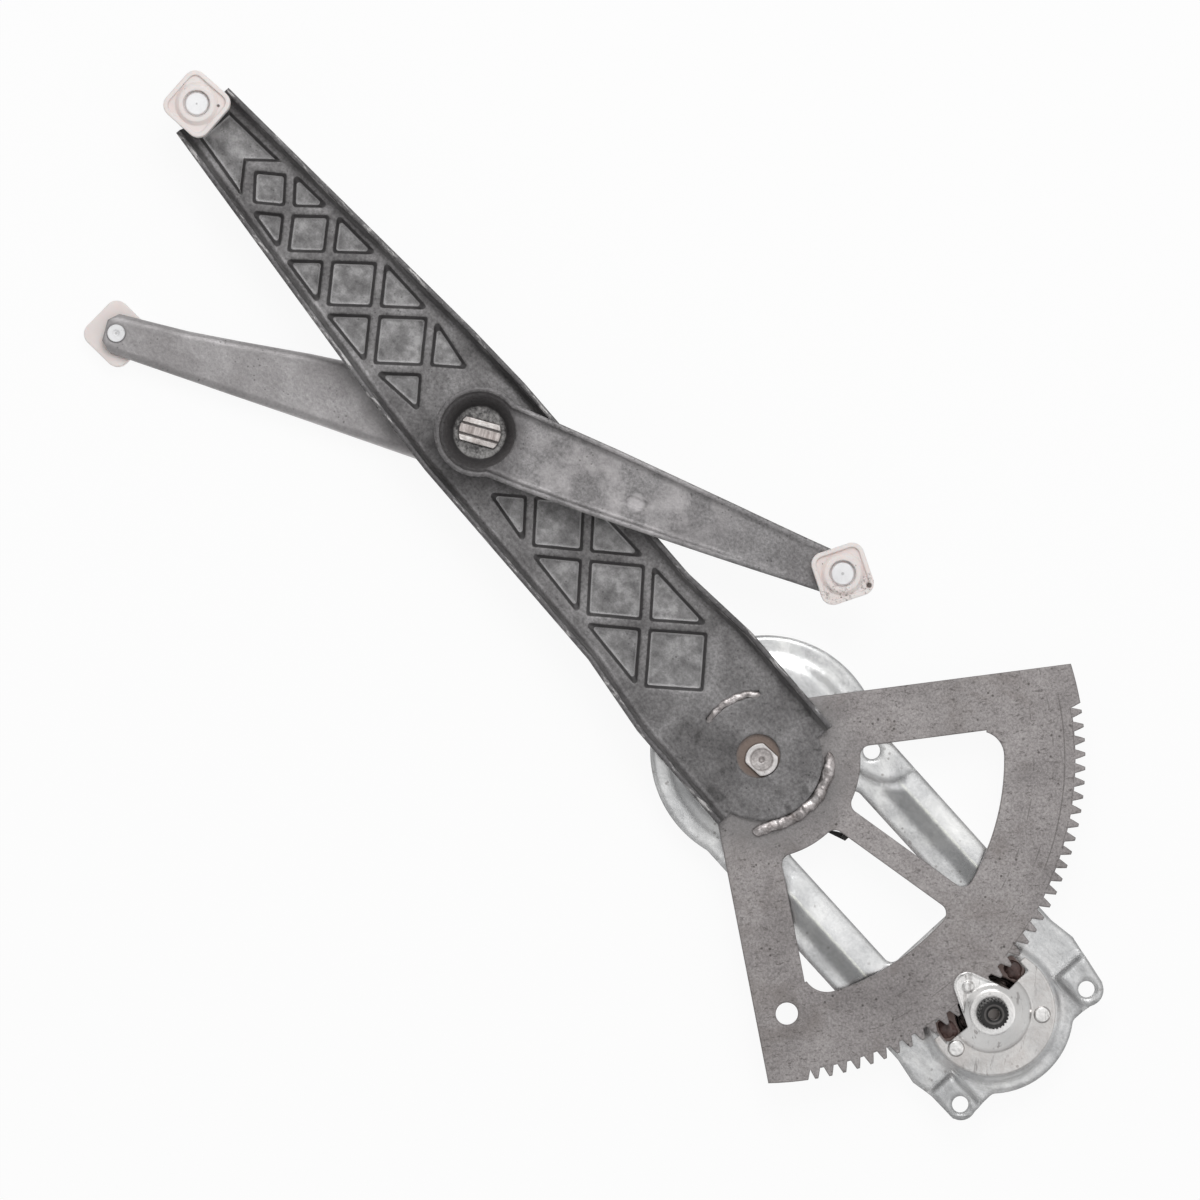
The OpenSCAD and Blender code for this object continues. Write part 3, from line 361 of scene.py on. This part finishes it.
def frontDetail(tree, coords, colour):
    look = frontLook
    reach = along(tree, local(tree, coords, cross, frontTurn), "X")
    blotch = band(tree, reach, look["blotch"]["along"], look["blotch"]["soft"])
    blotch = times(tree, patches(tree, coords, **look["blotch"]["patches"]), blotch)
    colour = tint(tree, colour, blotch, look["blotch"])
    dimple = fade(tree, radial(tree, coords, dimplePlace), look["dimple"]["reach"])
    colour = tint(tree, colour, dimple, look["dimple"])
    hub = fade(tree, radial(tree, coords, cross), look["hub"]["reach"])
    colour = tint(tree, colour, hub, look["hub"])
    floor = fade(tree, along(tree, coords, "Z"), look["hubFloor"]["levels"])
    scuffed = ramp(tree, grain(tree, coords, **look["hubFloor"]["grain"]), look["hubFloor"]["tones"])
    return mix(tree, times(tree, floor, look["hubFloor"]["share"]), colour, scuffed)


# The sector: brown stains, rubbed arcs round the pivot, pits, a heat tint, a brown patch under the access hole
sectorLook = {
    "stain": {"share": 0.4, "paint": (0.19, 0.165, 0.15),
              "patches": {"limits": (0.52, 0.68), "scale": 34, "detail": 5, "rough": 0.65, "warp": 0.8}},
    "arc": {"share": 0.55, "paint": (0.11, 0.1, 0.095), "grain": {"scale": 110, "detail": 5, "rough": 0.6},
            "soft": 0.0003, "endSoft": 0.004, "breakSoft": 0.05},
    "pit": {"share": 0.75, "paint": (0.12, 0.108, 0.103), "patches": {
        "limits": (0.55, 0.63), "scale": 520, "detail": 5, "rough": 0.85, "stretch": (1, 0.4, 1), "turn": 35}},
    "heat": {"reach": (0.047, 0.035), "share": 0.6, "paint": (0.23, 0.224, 0.224),
             "patches": {"limits": (0.3, 0.6), "least": 0.5, "scale": 60}},
    "accessBrown": {"reach": (0.0118, 0.0085), "share": 0.7, "paint": (0.2, 0.135, 0.1)}}
sectorArcs = [
    {"radius": 0.1347, "width": 0.0003, "breaks": 0.4, "ends": (-0.046, 0.026)},
    {"radius": 0.1298, "width": 0.0001, "breaks": 0.54, "ends": (-0.12, 0.05)},
    {"radius": 0.139, "width": 0.0001, "breaks": 0.56, "ends": (-0.12, 0.03)},
    {"radius": 0.121, "width": 0.0002, "breaks": 0.58, "ends": (-0.11, 0.05)}]


def sectorDetail(tree, coords, colour):
    look = sectorLook
    arc = look["arc"]
    reach = radial(tree, coords, pivot)
    ahead = along(tree, local(tree, coords, pivot, photoTurn), "Y")
    uneven = grain(tree, coords, **arc["grain"])
    colour = tint(tree, colour, patches(tree, coords, **look["stain"]["patches"]), look["stain"])
    for line in sectorArcs:
        ring = band(tree, reach, (line["radius"], line["radius"] + line["width"]), arc["soft"])
        ring = times(tree, ring, band(tree, ahead, line["ends"], arc["endSoft"]))
        broken = ramp(tree, uneven, [(line["breaks"] - arc["breakSoft"], 0.0), (line["breaks"], 1.0)])
        colour = tint(tree, colour, times(tree, ring, broken), arc)
    colour = tint(tree, colour, patches(tree, coords, **look["pit"]["patches"]), look["pit"])
    heat = fade(tree, reach, look["heat"]["reach"])
    heat = times(tree, heat, patches(tree, coords, **look["heat"]["patches"]))
    colour = tint(tree, colour, heat, look["heat"])
    accessBrown = fade(tree, radial(tree, coords, accessPlace), look["accessBrown"]["reach"])
    return tint(tree, colour, accessBrown, look["accessBrown"])


# Brown grease and painted shade low down in the openings beside the pinion, on the base plate and the housing
greaseShadeLook = {"levels": (-0.0022, -0.0032), "along": (-0.0145, -0.001), "across": (0.0, 0.0235), "soft": 0.002,
              "share": 0.92, "paint": (0.075, 0.042, 0.034)}


def greasedAndShaded(tree, coords, colour):
    look = greaseShadeLook
    place = local(tree, coords, crank)
    side = maths(tree, "ABSOLUTE", along(tree, place, "Y"))
    under = fade(tree, along(tree, coords, "Z"), look["levels"])
    spot = times(tree, band(tree, along(tree, place, "X"), look["along"], look["soft"]),
                 band(tree, side, look["across"], look["soft"]))
    return tint(tree, colour, times(tree, spot, under), look)


# The base plate: duller raised corners, painted highlights with glints along the leg crests, brown film round the
# crank
plateLook = {
    "raised": {"levels": (-0.0012, 0.003), "soft": 0.002, "share": 0.3, "paint": (0.4, 0.405, 0.41)},
    "crestHighlight": {"middle": 0.004, "across": (0.0345, 0.0349), "soft": 0.0007, "along": (-0.12, -0.055),
              "endSoft": 0.006, "share": 0.75, "paint": (0.93, 0.94, 0.86),
              "patches": {"limits": (0.4, 0.6), "least": 0.35, "scale": 420, "rough": 0.7}},
    "film": {"reach": (0.036, 0.026), "share": 0.4, "paint": (0.55, 0.49, 0.46),
             "patches": {"limits": (0.46, 0.62), "scale": 75, "detail": 5, "rough": 0.65, "warp": 0.4}}}


def plateDetail(tree, coords, colour):
    look = plateLook
    raised = band(tree, along(tree, coords, "Z"), look["raised"]["levels"], look["raised"]["soft"])
    colour = tint(tree, colour, raised, look["raised"])
    # Painted highlight: a bright cream line with glints along the crest of each leg
    side = maths(tree, "ABSOLUTE", maths(tree, "SUBTRACT", along(tree, coords, "Y"), look["crestHighlight"]["middle"]))
    crestHighlight = times(tree, band(tree, side, look["crestHighlight"]["across"], look["crestHighlight"]["soft"]),
                  band(tree, along(tree, coords, "X"), look["crestHighlight"]["along"], look["crestHighlight"]["endSoft"]))
    crestHighlight = times(tree, crestHighlight, patches(tree, coords, **look["crestHighlight"]["patches"]))
    colour = tint(tree, colour, crestHighlight, look["crestHighlight"])
    film = fade(tree, radial(tree, coords, crank), look["film"]["reach"])
    film = times(tree, patches(tree, coords, **look["film"]["patches"]), film)
    colour = tint(tree, colour, film, look["film"])
    return greasedAndShaded(tree, coords, colour)


# The pinion cover: brown film, a dull flange, a bright crown and fine scratches
coverLook = {
    "film": {"share": 0.45, "paint": (0.6, 0.545, 0.515),
             "patches": {"limits": (0.4, 0.6), "scale": 85, "detail": 5, "rough": 0.65, "warp": 0.4}},
    "flange": {"share": 0.4, "paint": (0.5, 0.475, 0.46)},
    "crown": {"levels": (-0.0003, 0.0009), "share": 0.6, "paint": (0.97, 0.96, 0.95)},
    "scratch": {"share": 0.5, "paint": (0.2, 0.185, 0.175), "patches": {
        "limits": (0.58, 0.66), "scale": 300, "rough": 0.7, "stretch": (0.2, 1, 1), "turn": 50}}}


def coverDetail(tree, coords, colour):
    look = coverLook
    colour = tint(tree, colour, patches(tree, coords, **look["film"]["patches"]), look["film"])
    crown = fade(tree, along(tree, coords, "Z"), look["crown"]["levels"])
    colour = tint(tree, colour, maths(tree, "SUBTRACT", 1.0, crown), look["flange"])
    colour = tint(tree, colour, crown, look["crown"])
    return tint(tree, colour, patches(tree, coords, **look["scratch"]["patches"]), look["scratch"])


# The stud heads: a small centre mark on each
rivetLook = {"soft": 0.0003, "share": 0.55, "paint": (0.3, 0.29, 0.29),
             "marks": [(frontSlide, 0.0005), (rearSlide, 0.0005), (liftSlide, 0.0003)]}


def rivetDetail(tree, coords, colour):
    for place, size in rivetLook["marks"]:
        dot = fade(tree, radial(tree, coords, place), (size + rivetLook["soft"], size))
        colour = tint(tree, colour, dot, rivetLook)
    return colour


# The pivot's end: a dull step inside a bright rim, which is a painted highlight
shaftLook = {
    "step": {"reach": (0.0046, 0.0049), "soft": 0.0003, "share": 0.5, "paint": (0.16, 0.14, 0.135)},
    # rim: painted highlight round the shaft's rounded edge
    "rim": {"reach": (0.0056, 0.0072), "soft": 0.0004, "share": 0.6, "paint": (0.9, 0.87, 0.86)}}


def shaftDetail(tree, coords, colour):
    reach = radial(tree, coords, pivot)
    for mark in shaftLook.values():
        colour = tint(tree, colour, band(tree, reach, mark["reach"], mark["soft"]), mark)
    return colour


# The key: dark grooves, a dull middle with grain across it and bright sides
keyLook = {
    "middle": {"across": (-0.001, 0.0019), "soft": 0.0002,
               "grain": {"scale": 500, "rough": 0.7, "stretch": (1, 0.15, 1), "turn": -keyTurn},
               "tones": [(0.36, (0.3, 0.26, 0.245)), (0.64, (0.62, 0.57, 0.55))]},
    "groove": {"across": (0.002, 0.0029), "soft": 0.0002, "share": 0.85, "paint": (0.06, 0.05, 0.047)}}


def keyDetail(tree, coords, colour):
    dull, groove = keyLook["middle"], keyLook["groove"]
    side = maths(tree, "ABSOLUTE", along(tree, local(tree, coords, cross, keyTurn), "Y"))
    tones = ramp(tree, grain(tree, coords, **dull["grain"]), dull["tones"])
    colour = mix(tree, band(tree, side, dull["across"], dull["soft"]), colour, tones)
    return tint(tree, colour, band(tree, side, groove["across"], groove["soft"]), groove)


# The spindle: bare metal down in the hole, a dark ring round it
spindleLook = {
    "ring": {"reach": (0.0037, 0.0043), "soft": 0.0003, "share": 0.5, "paint": (0.2, 0.19, 0.185)},
    "hole": {"reach": (0.00262, 0.00245), "paint": (0.62, 0.58, 0.56)}}


def spindleDetail(tree, coords, colour):
    ring, hole = spindleLook["ring"], spindleLook["hole"]
    reach = radial(tree, coords, crank)
    colour = tint(tree, colour, band(tree, reach, ring["reach"], ring["soft"]), ring)
    return mix(tree, fade(tree, reach, hole["reach"]), colour, hole["paint"])


armFinish = {
    "dark": (0.125, 0.12, 0.121), "middle": (0.19, 0.184, 0.185), "light": (0.28, 0.272, 0.274),
    "cloudScale": 42, "streak": 0.3, "streakScale": 70, "turn": liftTurn, "fleck": 0.35, "fleckScale": 700,
    "speck": 0.5, "speckScale": 420, "speckColour": (0.025, 0.023, 0.022), "rough": 0.44, "metallic": 0.5,
    "bump": 0.5, "wave": 0.25, "waveScale": 60, "edge": 0.0017, "wear": 0.5, "worn": (0.42, 0.41, 0.41)}
liftSteel = metal("liftSteel", armFinish, liftDetail)
frontSteel = metal("frontSteel", {
    **armFinish, "dark": (0.19, 0.182, 0.184), "middle": (0.23, 0.222, 0.224), "light": (0.29, 0.28, 0.283),
    "turn": frontTurn}, frontDetail)
rearSteel = metal("rearSteel", {
    **armFinish, "dark": (0.31, 0.296, 0.298), "middle": (0.36, 0.345, 0.348), "light": (0.42, 0.404, 0.407),
    "turn": rearTurn, "streak": 0.15, "fleck": 0.15})
sectorSteel = metal("sectorSteel", {
    "dark": (0.28, 0.26, 0.258), "middle": (0.35, 0.326, 0.323), "light": (0.41, 0.384, 0.38),
    "cloudScale": 24, "streak": 0.15, "streakScale": 60, "turn": 60, "fleck": 0.3, "fleckScale": 900,
    "speck": 0.8, "speckScale": 300, "speckColour": (0.07, 0.062, 0.058), "rough": 0.5, "metallic": 0.55,
    "bump": 0.45, "wave": 0.12, "waveScale": 30, "edge": 0.0011, "wear": 0.9, "worn": (0.09, 0.08, 0.075)},
    sectorDetail)
zincFinish = {
    "dark": (0.52, 0.525, 0.53), "middle": (0.66, 0.662, 0.664), "light": (0.8, 0.8, 0.79),
    "cloudScale": 34, "streak": 0.3, "streakScale": 50, "turn": 0, "fleck": 0.15, "fleckScale": 700,
    "speck": 0.45, "speckScale": 260, "speckColour": (0.16, 0.14, 0.125), "rough": 0.2, "metallic": 0.92,
    "bump": 0.15, "wave": 0.5, "waveScale": 28, "edge": 0.0012, "wear": 0.3, "worn": (0.8, 0.8, 0.79)}
galvanised = metal("galvanised", {**zincFinish, "edge": 0.0036, "wear": 0.08}, plateDetail)
housingZinc = metal("housingZinc", zincFinish, greasedAndShaded)
coverFinish = {
    **zincFinish, "dark": (0.64, 0.635, 0.63), "middle": (0.8, 0.795, 0.79), "light": (0.93, 0.925, 0.92),
    "wave": 0.2, "waveScale": 34}
coverZinc = metal("coverZinc", coverFinish, coverDetail)
coverRivet = metal("coverRivet", {
    **coverFinish, "edge": 0.0007, "waveScale": 90, "wear": 1.0, "worn": (0.16, 0.15, 0.145)}, coverDetail)
brightRivet = metal("brightRivet", {
    "dark": (0.8, 0.8, 0.81), "middle": (0.88, 0.88, 0.89), "light": (0.93, 0.93, 0.94),
    "cloudScale": 130, "streak": 0.1, "streakScale": 90, "turn": 0, "fleck": 0.2, "fleckScale": 900,
    "speck": 0.2, "speckScale": 500, "speckColour": (0.3, 0.28, 0.26), "rough": 0.48, "metallic": 0.3,
    "bump": 0.3, "wave": 0.0, "waveScale": 150, "edge": 0.0005, "wear": 0.8, "worn": (0.5, 0.49, 0.5)},
    rivetDetail)
# Pale worn edges: partly edge wear, partly a painted highlight on the rounded edges
gearFinish = {
    "dark": (0.3, 0.275, 0.268), "middle": (0.46, 0.43, 0.42), "light": (0.62, 0.59, 0.58),
    "cloudScale": 110, "streak": 0.3, "streakScale": 160, "turn": 0, "fleck": 0.3, "fleckScale": 900,
    "speck": 0.4, "speckScale": 500, "speckColour": (0.06, 0.045, 0.04), "rough": 0.4, "metallic": 0.8,
    "bump": 0.4, "wave": 0.2, "waveScale": 120, "edge": 0.0008, "wear": 0.8, "worn": (0.86, 0.84, 0.83)}
gearSteel = metal("gearSteel", gearFinish)
shaftSteel = metal("shaftSteel", gearFinish, shaftDetail)
keySteel = metal("keySteel", {
    **gearFinish, "dark": (0.42, 0.385, 0.37), "middle": (0.66, 0.62, 0.6), "light": (0.86, 0.83, 0.81),
    "turn": 20, "edge": 0.0006}, keyDetail)
# Dark brown that is grease and painted shade, for the pinion, the clutch driver and the spring down in the openings
# under the cover
greasyShadedSteel = metal("greasyShadedSteel", {
    **gearFinish, "dark": (0.03, 0.024, 0.022), "middle": (0.05, 0.038, 0.034), "light": (0.09, 0.07, 0.062),
    "wear": 0.2})
blackFinish = {
    "dark": (0.011, 0.011, 0.011), "middle": (0.022, 0.021, 0.021), "light": (0.05, 0.048, 0.047),
    "cloudScale": 110, "streak": 0.1, "streakScale": 120, "turn": 0, "fleck": 0.3, "fleckScale": 900,
    "speck": 0.3, "speckScale": 500, "speckColour": (0.12, 0.1, 0.09), "rough": 0.42, "metallic": 0.4,
    "bump": 0.4, "wave": 0.1, "waveScale": 90, "edge": 0.0003, "wear": 0.3, "worn": (0.2, 0.19, 0.18)}
blackSteel = metal("blackSteel", blackFinish)
spindleSteel = metal("spindleSteel", blackFinish, spindleDetail)
brownGrease = metal("brownGrease", {
    **blackFinish, "dark": (0.05, 0.026, 0.022), "middle": (0.095, 0.055, 0.048), "light": (0.17, 0.11, 0.1),
    "metallic": 0.0, "rough": 0.38, "cloudScale": 160, "wear": 0.0})
weldMetal = metal("weldMetal", {
    "dark": (0.16, 0.14, 0.135), "middle": (0.42, 0.39, 0.385), "light": (0.8, 0.75, 0.745),
    "cloudScale": 210, "streak": 0.2, "streakScale": 200, "turn": 0, "fleck": 0.3, "fleckScale": 1100,
    "speck": 0.5, "speckScale": 420, "speckColour": (0.07, 0.055, 0.05), "rough": 0.36, "metallic": 0.8,
    "bump": 0.3, "wave": 0.15, "waveScale": 200, "edge": 0.0003, "wear": 0.2, "worn": (0.95, 0.9, 0.88)})
ivoryNylon = nylon("ivoryNylon", {
    "ivory": (0.88, 0.825, 0.805), "blush": (0.85, 0.77, 0.745), "blushStops": (0.35, 0.7),
    "blushGrain": {"scale": 90, "detail": 3, "rough": 0.5}, "dirtAndShade": (0.1, 0.075, 0.065),
    "speckScale": 260, "speckSize": 0.07, "speckSoft": 0.05,
    "speckPatches": {"limits": (0.55, 0.62), "scale": 150, "detail": 2},
    "rubbing": {"limits": (0.52, 0.6), "scale": 900, "rough": 0.75}, "rubbedFrom": 0.002, "markSpread": 1.6,
    "marks": [  # place, size and strength: painted shade for a pin hole, and the dirt on the two upper sliders
        ((-0.5488, 0.0172, 0), 0.0005, 0.9), ((-0.1985, 0.087, 0), 0.0009, 0.95),
        ((-0.2047, 0.0731, 0), 0.0055, 0.55), ((-0.198, 0.0875, 0), 0.004, 0.6),
        ((-0.2245, 0.0845, 0), 0.003, 0.45)],
    "edge": 0.0009, "bump": 0.08, "bumpDepth": 0.0001, "bumpGrain": {"scale": 1500, "detail": 3},
    "rough": 0.42, "glow": 0.35, "glowDepth": 0.003, "glowColour": (1, 0.7, 0.6)})

# Finishes by the record's slots, and those of single solids that look different from their slot
slotFinish = {
    "galvanised": galvanised, "bright_rivet": brightRivet, "gear_steel": gearSteel, "black_spring": blackSteel,
    "sector_steel": sectorSteel, "arm_steel": liftSteel, "weld_metal": weldMetal, "ivory_nylon": ivoryNylon,
    "black_steel": spindleSteel, "bright_spring": greasyShadedSteel}
ownFinish = {
    "balance_arm_front": frontSteel, "balance_arm_rear": rearSteel, "pinion_cover": coverZinc,
    "clutch_housing": housingZinc, "housing_rivets": coverRivet, "cross_pin": keySteel,
    "pivot_shaft": shaftSteel, "pinion": greasyShadedSteel, "clutch_driver": greasyShadedSteel}


def finishNode(name, material):
    mesh = nodes[name].data
    mesh.materials.clear()
    mesh.materials.append(material)


for nodeName in nodes:
    finishNode(nodeName, ownFinish.get(nodeName, slotFinish[slotOf[nodeName]]))
print("finishes on the solids")


def placePiece(bm, name, body, material, stands=()):
    bmesh.ops.recalc_face_normals(bm, faces=bm.faces)
    mesh = bpy.data.meshes.new(name)
    bm.to_mesh(mesh)
    bm.free()
    mesh.shade_smooth()
    mesh.materials.append(material)
    piece = bpy.data.objects.new(name, mesh)
    scene.collection.objects.link(piece)
    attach(piece, body)
    if stands:
        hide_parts(*stands)
    print(name, len(mesh.polygons), "faces")


# The weld beads. A track holds shares of the length, distances from the pivot and half widths there;
# from and to are angles from the lift arm's heading
longBead = {
    "track": [(0, 0.0302, 0.0018), (0.15, 0.0302, 0.0026), (0.4, 0.0297, 0.0027), (0.65, 0.0293, 0.0025),
              (0.85, 0.0298, 0.0026), (1, 0.0318, 0.0027)],
    "from": 236, "to": 132, "steps": 150, "level": 0.0031, "flat": 0.6, "tip": 6.0, "lumps": 12, "seed": 3.1,
    "swell": 0.36, "rough": 0.16}
shortBead = {
    "track": [(0, 0.0292, 0.0014), (0.5, 0.0298, 0.0017), (1, 0.0292, 0.0013)],
    "from": -40, "to": 15, "steps": 80, "level": 0.0038, "flat": 0.7, "tip": 5.0, "lumps": 9, "seed": 8.4,
    "swell": 0.3, "rough": 0.14}
beadForm = {"sides": 16, "endShare": 0.002, "lumpRound": 0.8, "fineLumps": 3.7, "wander": 0.0004, "wanderLumps": 11}


# Distance from the pivot and half width at a share of a bead's length, eased between the track's points
def trackAt(track, share):
    for (s0, r0, w0), (s1, r1, w1) in zip(track, track[1:]):
        if share <= s1:
            part = (share - s0) / (s1 - s0)
            part = part * part * (3 - 2 * part)
            return r0 + (r1 - r0) * part, w0 + (w1 - w0) * part
    return track[-1][1:]


# A flattened rope laid round the pivot, with uneven swellings and closed round ends
def weldBead(name, bead, stands=()):
    form = beadForm
    bm = bmesh.new()
    bmesh.ops.create_circle(bm, cap_ends=False, segments=form["sides"], radius=1.0)
    rim = list(bm.edges)
    rings = [list(bm.verts)]
    for step in range(bead["steps"]):
        made = bmesh.ops.extrude_edge_only(bm, edges=rim)["geom"]
        rim = [g for g in made if isinstance(g, bmesh.types.BMEdge) and len(g.link_faces) == 1]
        rings.append([g for g in made if isinstance(g, bmesh.types.BMVert)])
    for i, ring in enumerate(rings):
        share = i / bead["steps"]
        inside = min(max(share, form["endShare"]), 1 - form["endShare"])
        end = min(1.0, (math.sin(math.pi * inside) * bead["tip"]) ** 0.5)  # rounds both ends
        reach, width = trackAt(bead["track"], share)
        reach += form["wander"] * noise.noise(Vector((share * form["wanderLumps"], bead["seed"], 0)))
        turn = math.radians(liftTurn + bead["from"] + (bead["to"] - bead["from"]) * share)
        for k, vert in enumerate(ring):
            angle = 2 * math.pi * k / form["sides"]
            sideways, upwards = math.cos(angle), math.sin(angle)
            place = Vector((share * bead["lumps"], sideways * form["lumpRound"],
                            upwards * form["lumpRound"] + bead["seed"]))
            lumps = bead["swell"] * noise.noise(place) + bead["rough"] * noise.noise(place * form["fineLumps"])
            size = width * end * (1 + lumps)
            out = reach + size * sideways
            up = bead["level"] + size * bead["flat"] * upwards
            vert.co = pivot + Vector((out * math.cos(turn), out * math.sin(turn), up))
    bmesh.ops.holes_fill(bm, edges=[e for e in bm.edges if len(e.link_faces) == 1], sides=0)
    placePiece(bm, name, "sector", weldMetal, stands)


weldBead("longWeldBead", longBead, ("weld_beads",))
weldBead("shortWeldBead", shortBead)

# Grease squeezed out at the two openings beside the pinion; places are from the crank
lumpForm = {"size": (0.0046, 0.0038, 0.0016), "swell": 0.28, "swellScale": 1.4, "rough": 0.08, "roughScale": 5}
greaseLumps = {
    "greaseLumpUpper": {"place": (-0.0072, 0.0196, -0.0042), "seed": 2.0},
    "greaseLumpLower": {"place": (-0.0072, -0.0196, -0.0042), "seed": 5.0}}


def greaseLump(name, lump):
    form = lumpForm
    bm = bmesh.new()
    bmesh.ops.create_icosphere(bm, subdivisions=4, radius=1.0)
    for vert in bm.verts:
        swell = form["swell"] * noise.noise(vert.co * form["swellScale"] + Vector((lump["seed"], 0, 0)))
        rough = form["rough"] * noise.noise(vert.co * form["roughScale"])
        vert.co = vert.co * Vector(form["size"]) * (1 + swell + rough)
    bmesh.ops.transform(bm, matrix=Matrix.Translation(crank + Vector(lump["place"])), verts=bm.verts)
    placePiece(bm, name, "base", brownGrease)


for lumpName, lumpRow in greaseLumps.items():
    greaseLump(lumpName, lumpRow)

# Floor, lamps and surroundings
floorLook = {"size": 8.0, "gap": 0.0002, "shade": 0.86, "glow": 0.92}


def makeFloor():
    look = floorLook
    bm = bmesh.new()
    bmesh.ops.create_grid(bm, x_segments=1, y_segments=1, size=look["size"] / 2)
    mesh = bpy.data.meshes.new("floor")
    bm.to_mesh(mesh)
    bm.free()
    mesh.transform(Matrix.Translation((middle.x, middle.y, cadBox[0].z - look["gap"])))
    floor = bpy.data.objects.new("floor", mesh)
    scene.collection.objects.link(floor)
    made, tree = newMaterial("paleFloor")
    rays = add(tree, "ShaderNodeLightPath").outputs
    seen = maths(tree, "MAXIMUM", rays["Is Camera Ray"], rays["Is Glossy Ray"])
    seen = maths(tree, "MAXIMUM", seen, rays["Is Transmission Ray"])
    matt = add(tree, "ShaderNodeBsdfDiffuse", {"Color": (look["shade"],) * 3 + (1,)})
    white = add(tree, "ShaderNodeEmission", {"Color": (1, 1, 1, 1), "Strength": 1.0})
    both = add(tree, "ShaderNodeMixShader", {
        0: times(tree, seen, look["glow"]), 1: matt.outputs[0], 2: white.outputs[0]})
    add(tree, "ShaderNodeOutputMaterial", {"Surface": both.outputs[0]})
    mesh.materials.append(made)
    print("floor laid")


# Square lamps that look at the middle of the part; places are from there
lamps = {
    "keyLamp": {"size": 0.7, "power": 5.5, "place": photoUp * 0.75 + photoRight * 0.1 + Vector((0, 0, 1.15))},
    "fillLamp": {"size": 1.6, "power": 1.3, "place": photoRight * 0.5 - photoUp * 0.5 + Vector((0, 0, 1.9))}}


def makeLamp(name, lamp):
    data = bpy.data.lights.new(name, "AREA")
    data.shape = "SQUARE"
    data.size = lamp["size"]
    data.energy = lamp["power"]
    made = bpy.data.objects.new(name, data)
    made.location = middle + lamp["place"]
    made.rotation_euler = lamp["place"].to_track_quat("Z", "Y").to_euler()
    scene.collection.objects.link(made)


# Soft light all round: brighter overhead, with a dark and a bright stretch across one way for the metal
studioLook = {
    "heights": [(0.0, 0.7), (0.3, 0.75), (0.62, 0.8), (0.9, 0.9), (1.0, 0.95)],
    "way": photoUp * 0.8 + photoRight * 0.6,
    "stretches": [(0.0, 0.95), (0.18, 0.6), (0.3, 0.16), (0.42, 0.26), (0.5, 0.78), (0.58, 1.15), (0.7, 1.0),
                  (0.85, 0.6), (1.0, 0.4)],
    "lowLimits": (0.6, 0.15), "lowShade": (0.75, 0.75, 0.75), "strength": 1.08}


def makeStudio():
    look = studioLook
    world = bpy.data.worlds.new("studio")
    scene.world = world
    world.use_nodes = True
    tree = world.node_tree
    tree.nodes.clear()
    way = add(tree, "ShaderNodeTexCoord").outputs["Generated"]
    height = along(tree, way, "Z")
    side = add(tree, "ShaderNodeVectorMath", {0: way, 1: tuple(look["way"])}, operation="DOT_PRODUCT")
    stretches = ramp(tree, fade(tree, side.outputs["Value"], (-1.0, 1.0)), look["stretches"])
    stretches = mix(tree, fade(tree, height, look["lowLimits"]), stretches, look["lowShade"])
    glow = mix(tree, 1.0, ramp(tree, height, look["heights"]), stretches, "MULTIPLY")
    rays = add(tree, "ShaderNodeLightPath").outputs
    seen = maths(tree, "MAXIMUM", rays["Is Camera Ray"], rays["Is Transmission Ray"])
    colour = mix(tree, seen, glow, (1, 1, 1))  # metal mirrors the graded light
    back = add(tree, "ShaderNodeBackground", {"Color": colour, "Strength": look["strength"]})
    add(tree, "ShaderNodeOutputWorld", {"Surface": back.outputs[0]})


makeCamera()
makeFloor()
for lampName, lampRow in lamps.items():
    makeLamp(lampName, lampRow)
makeStudio()
print("lights set")
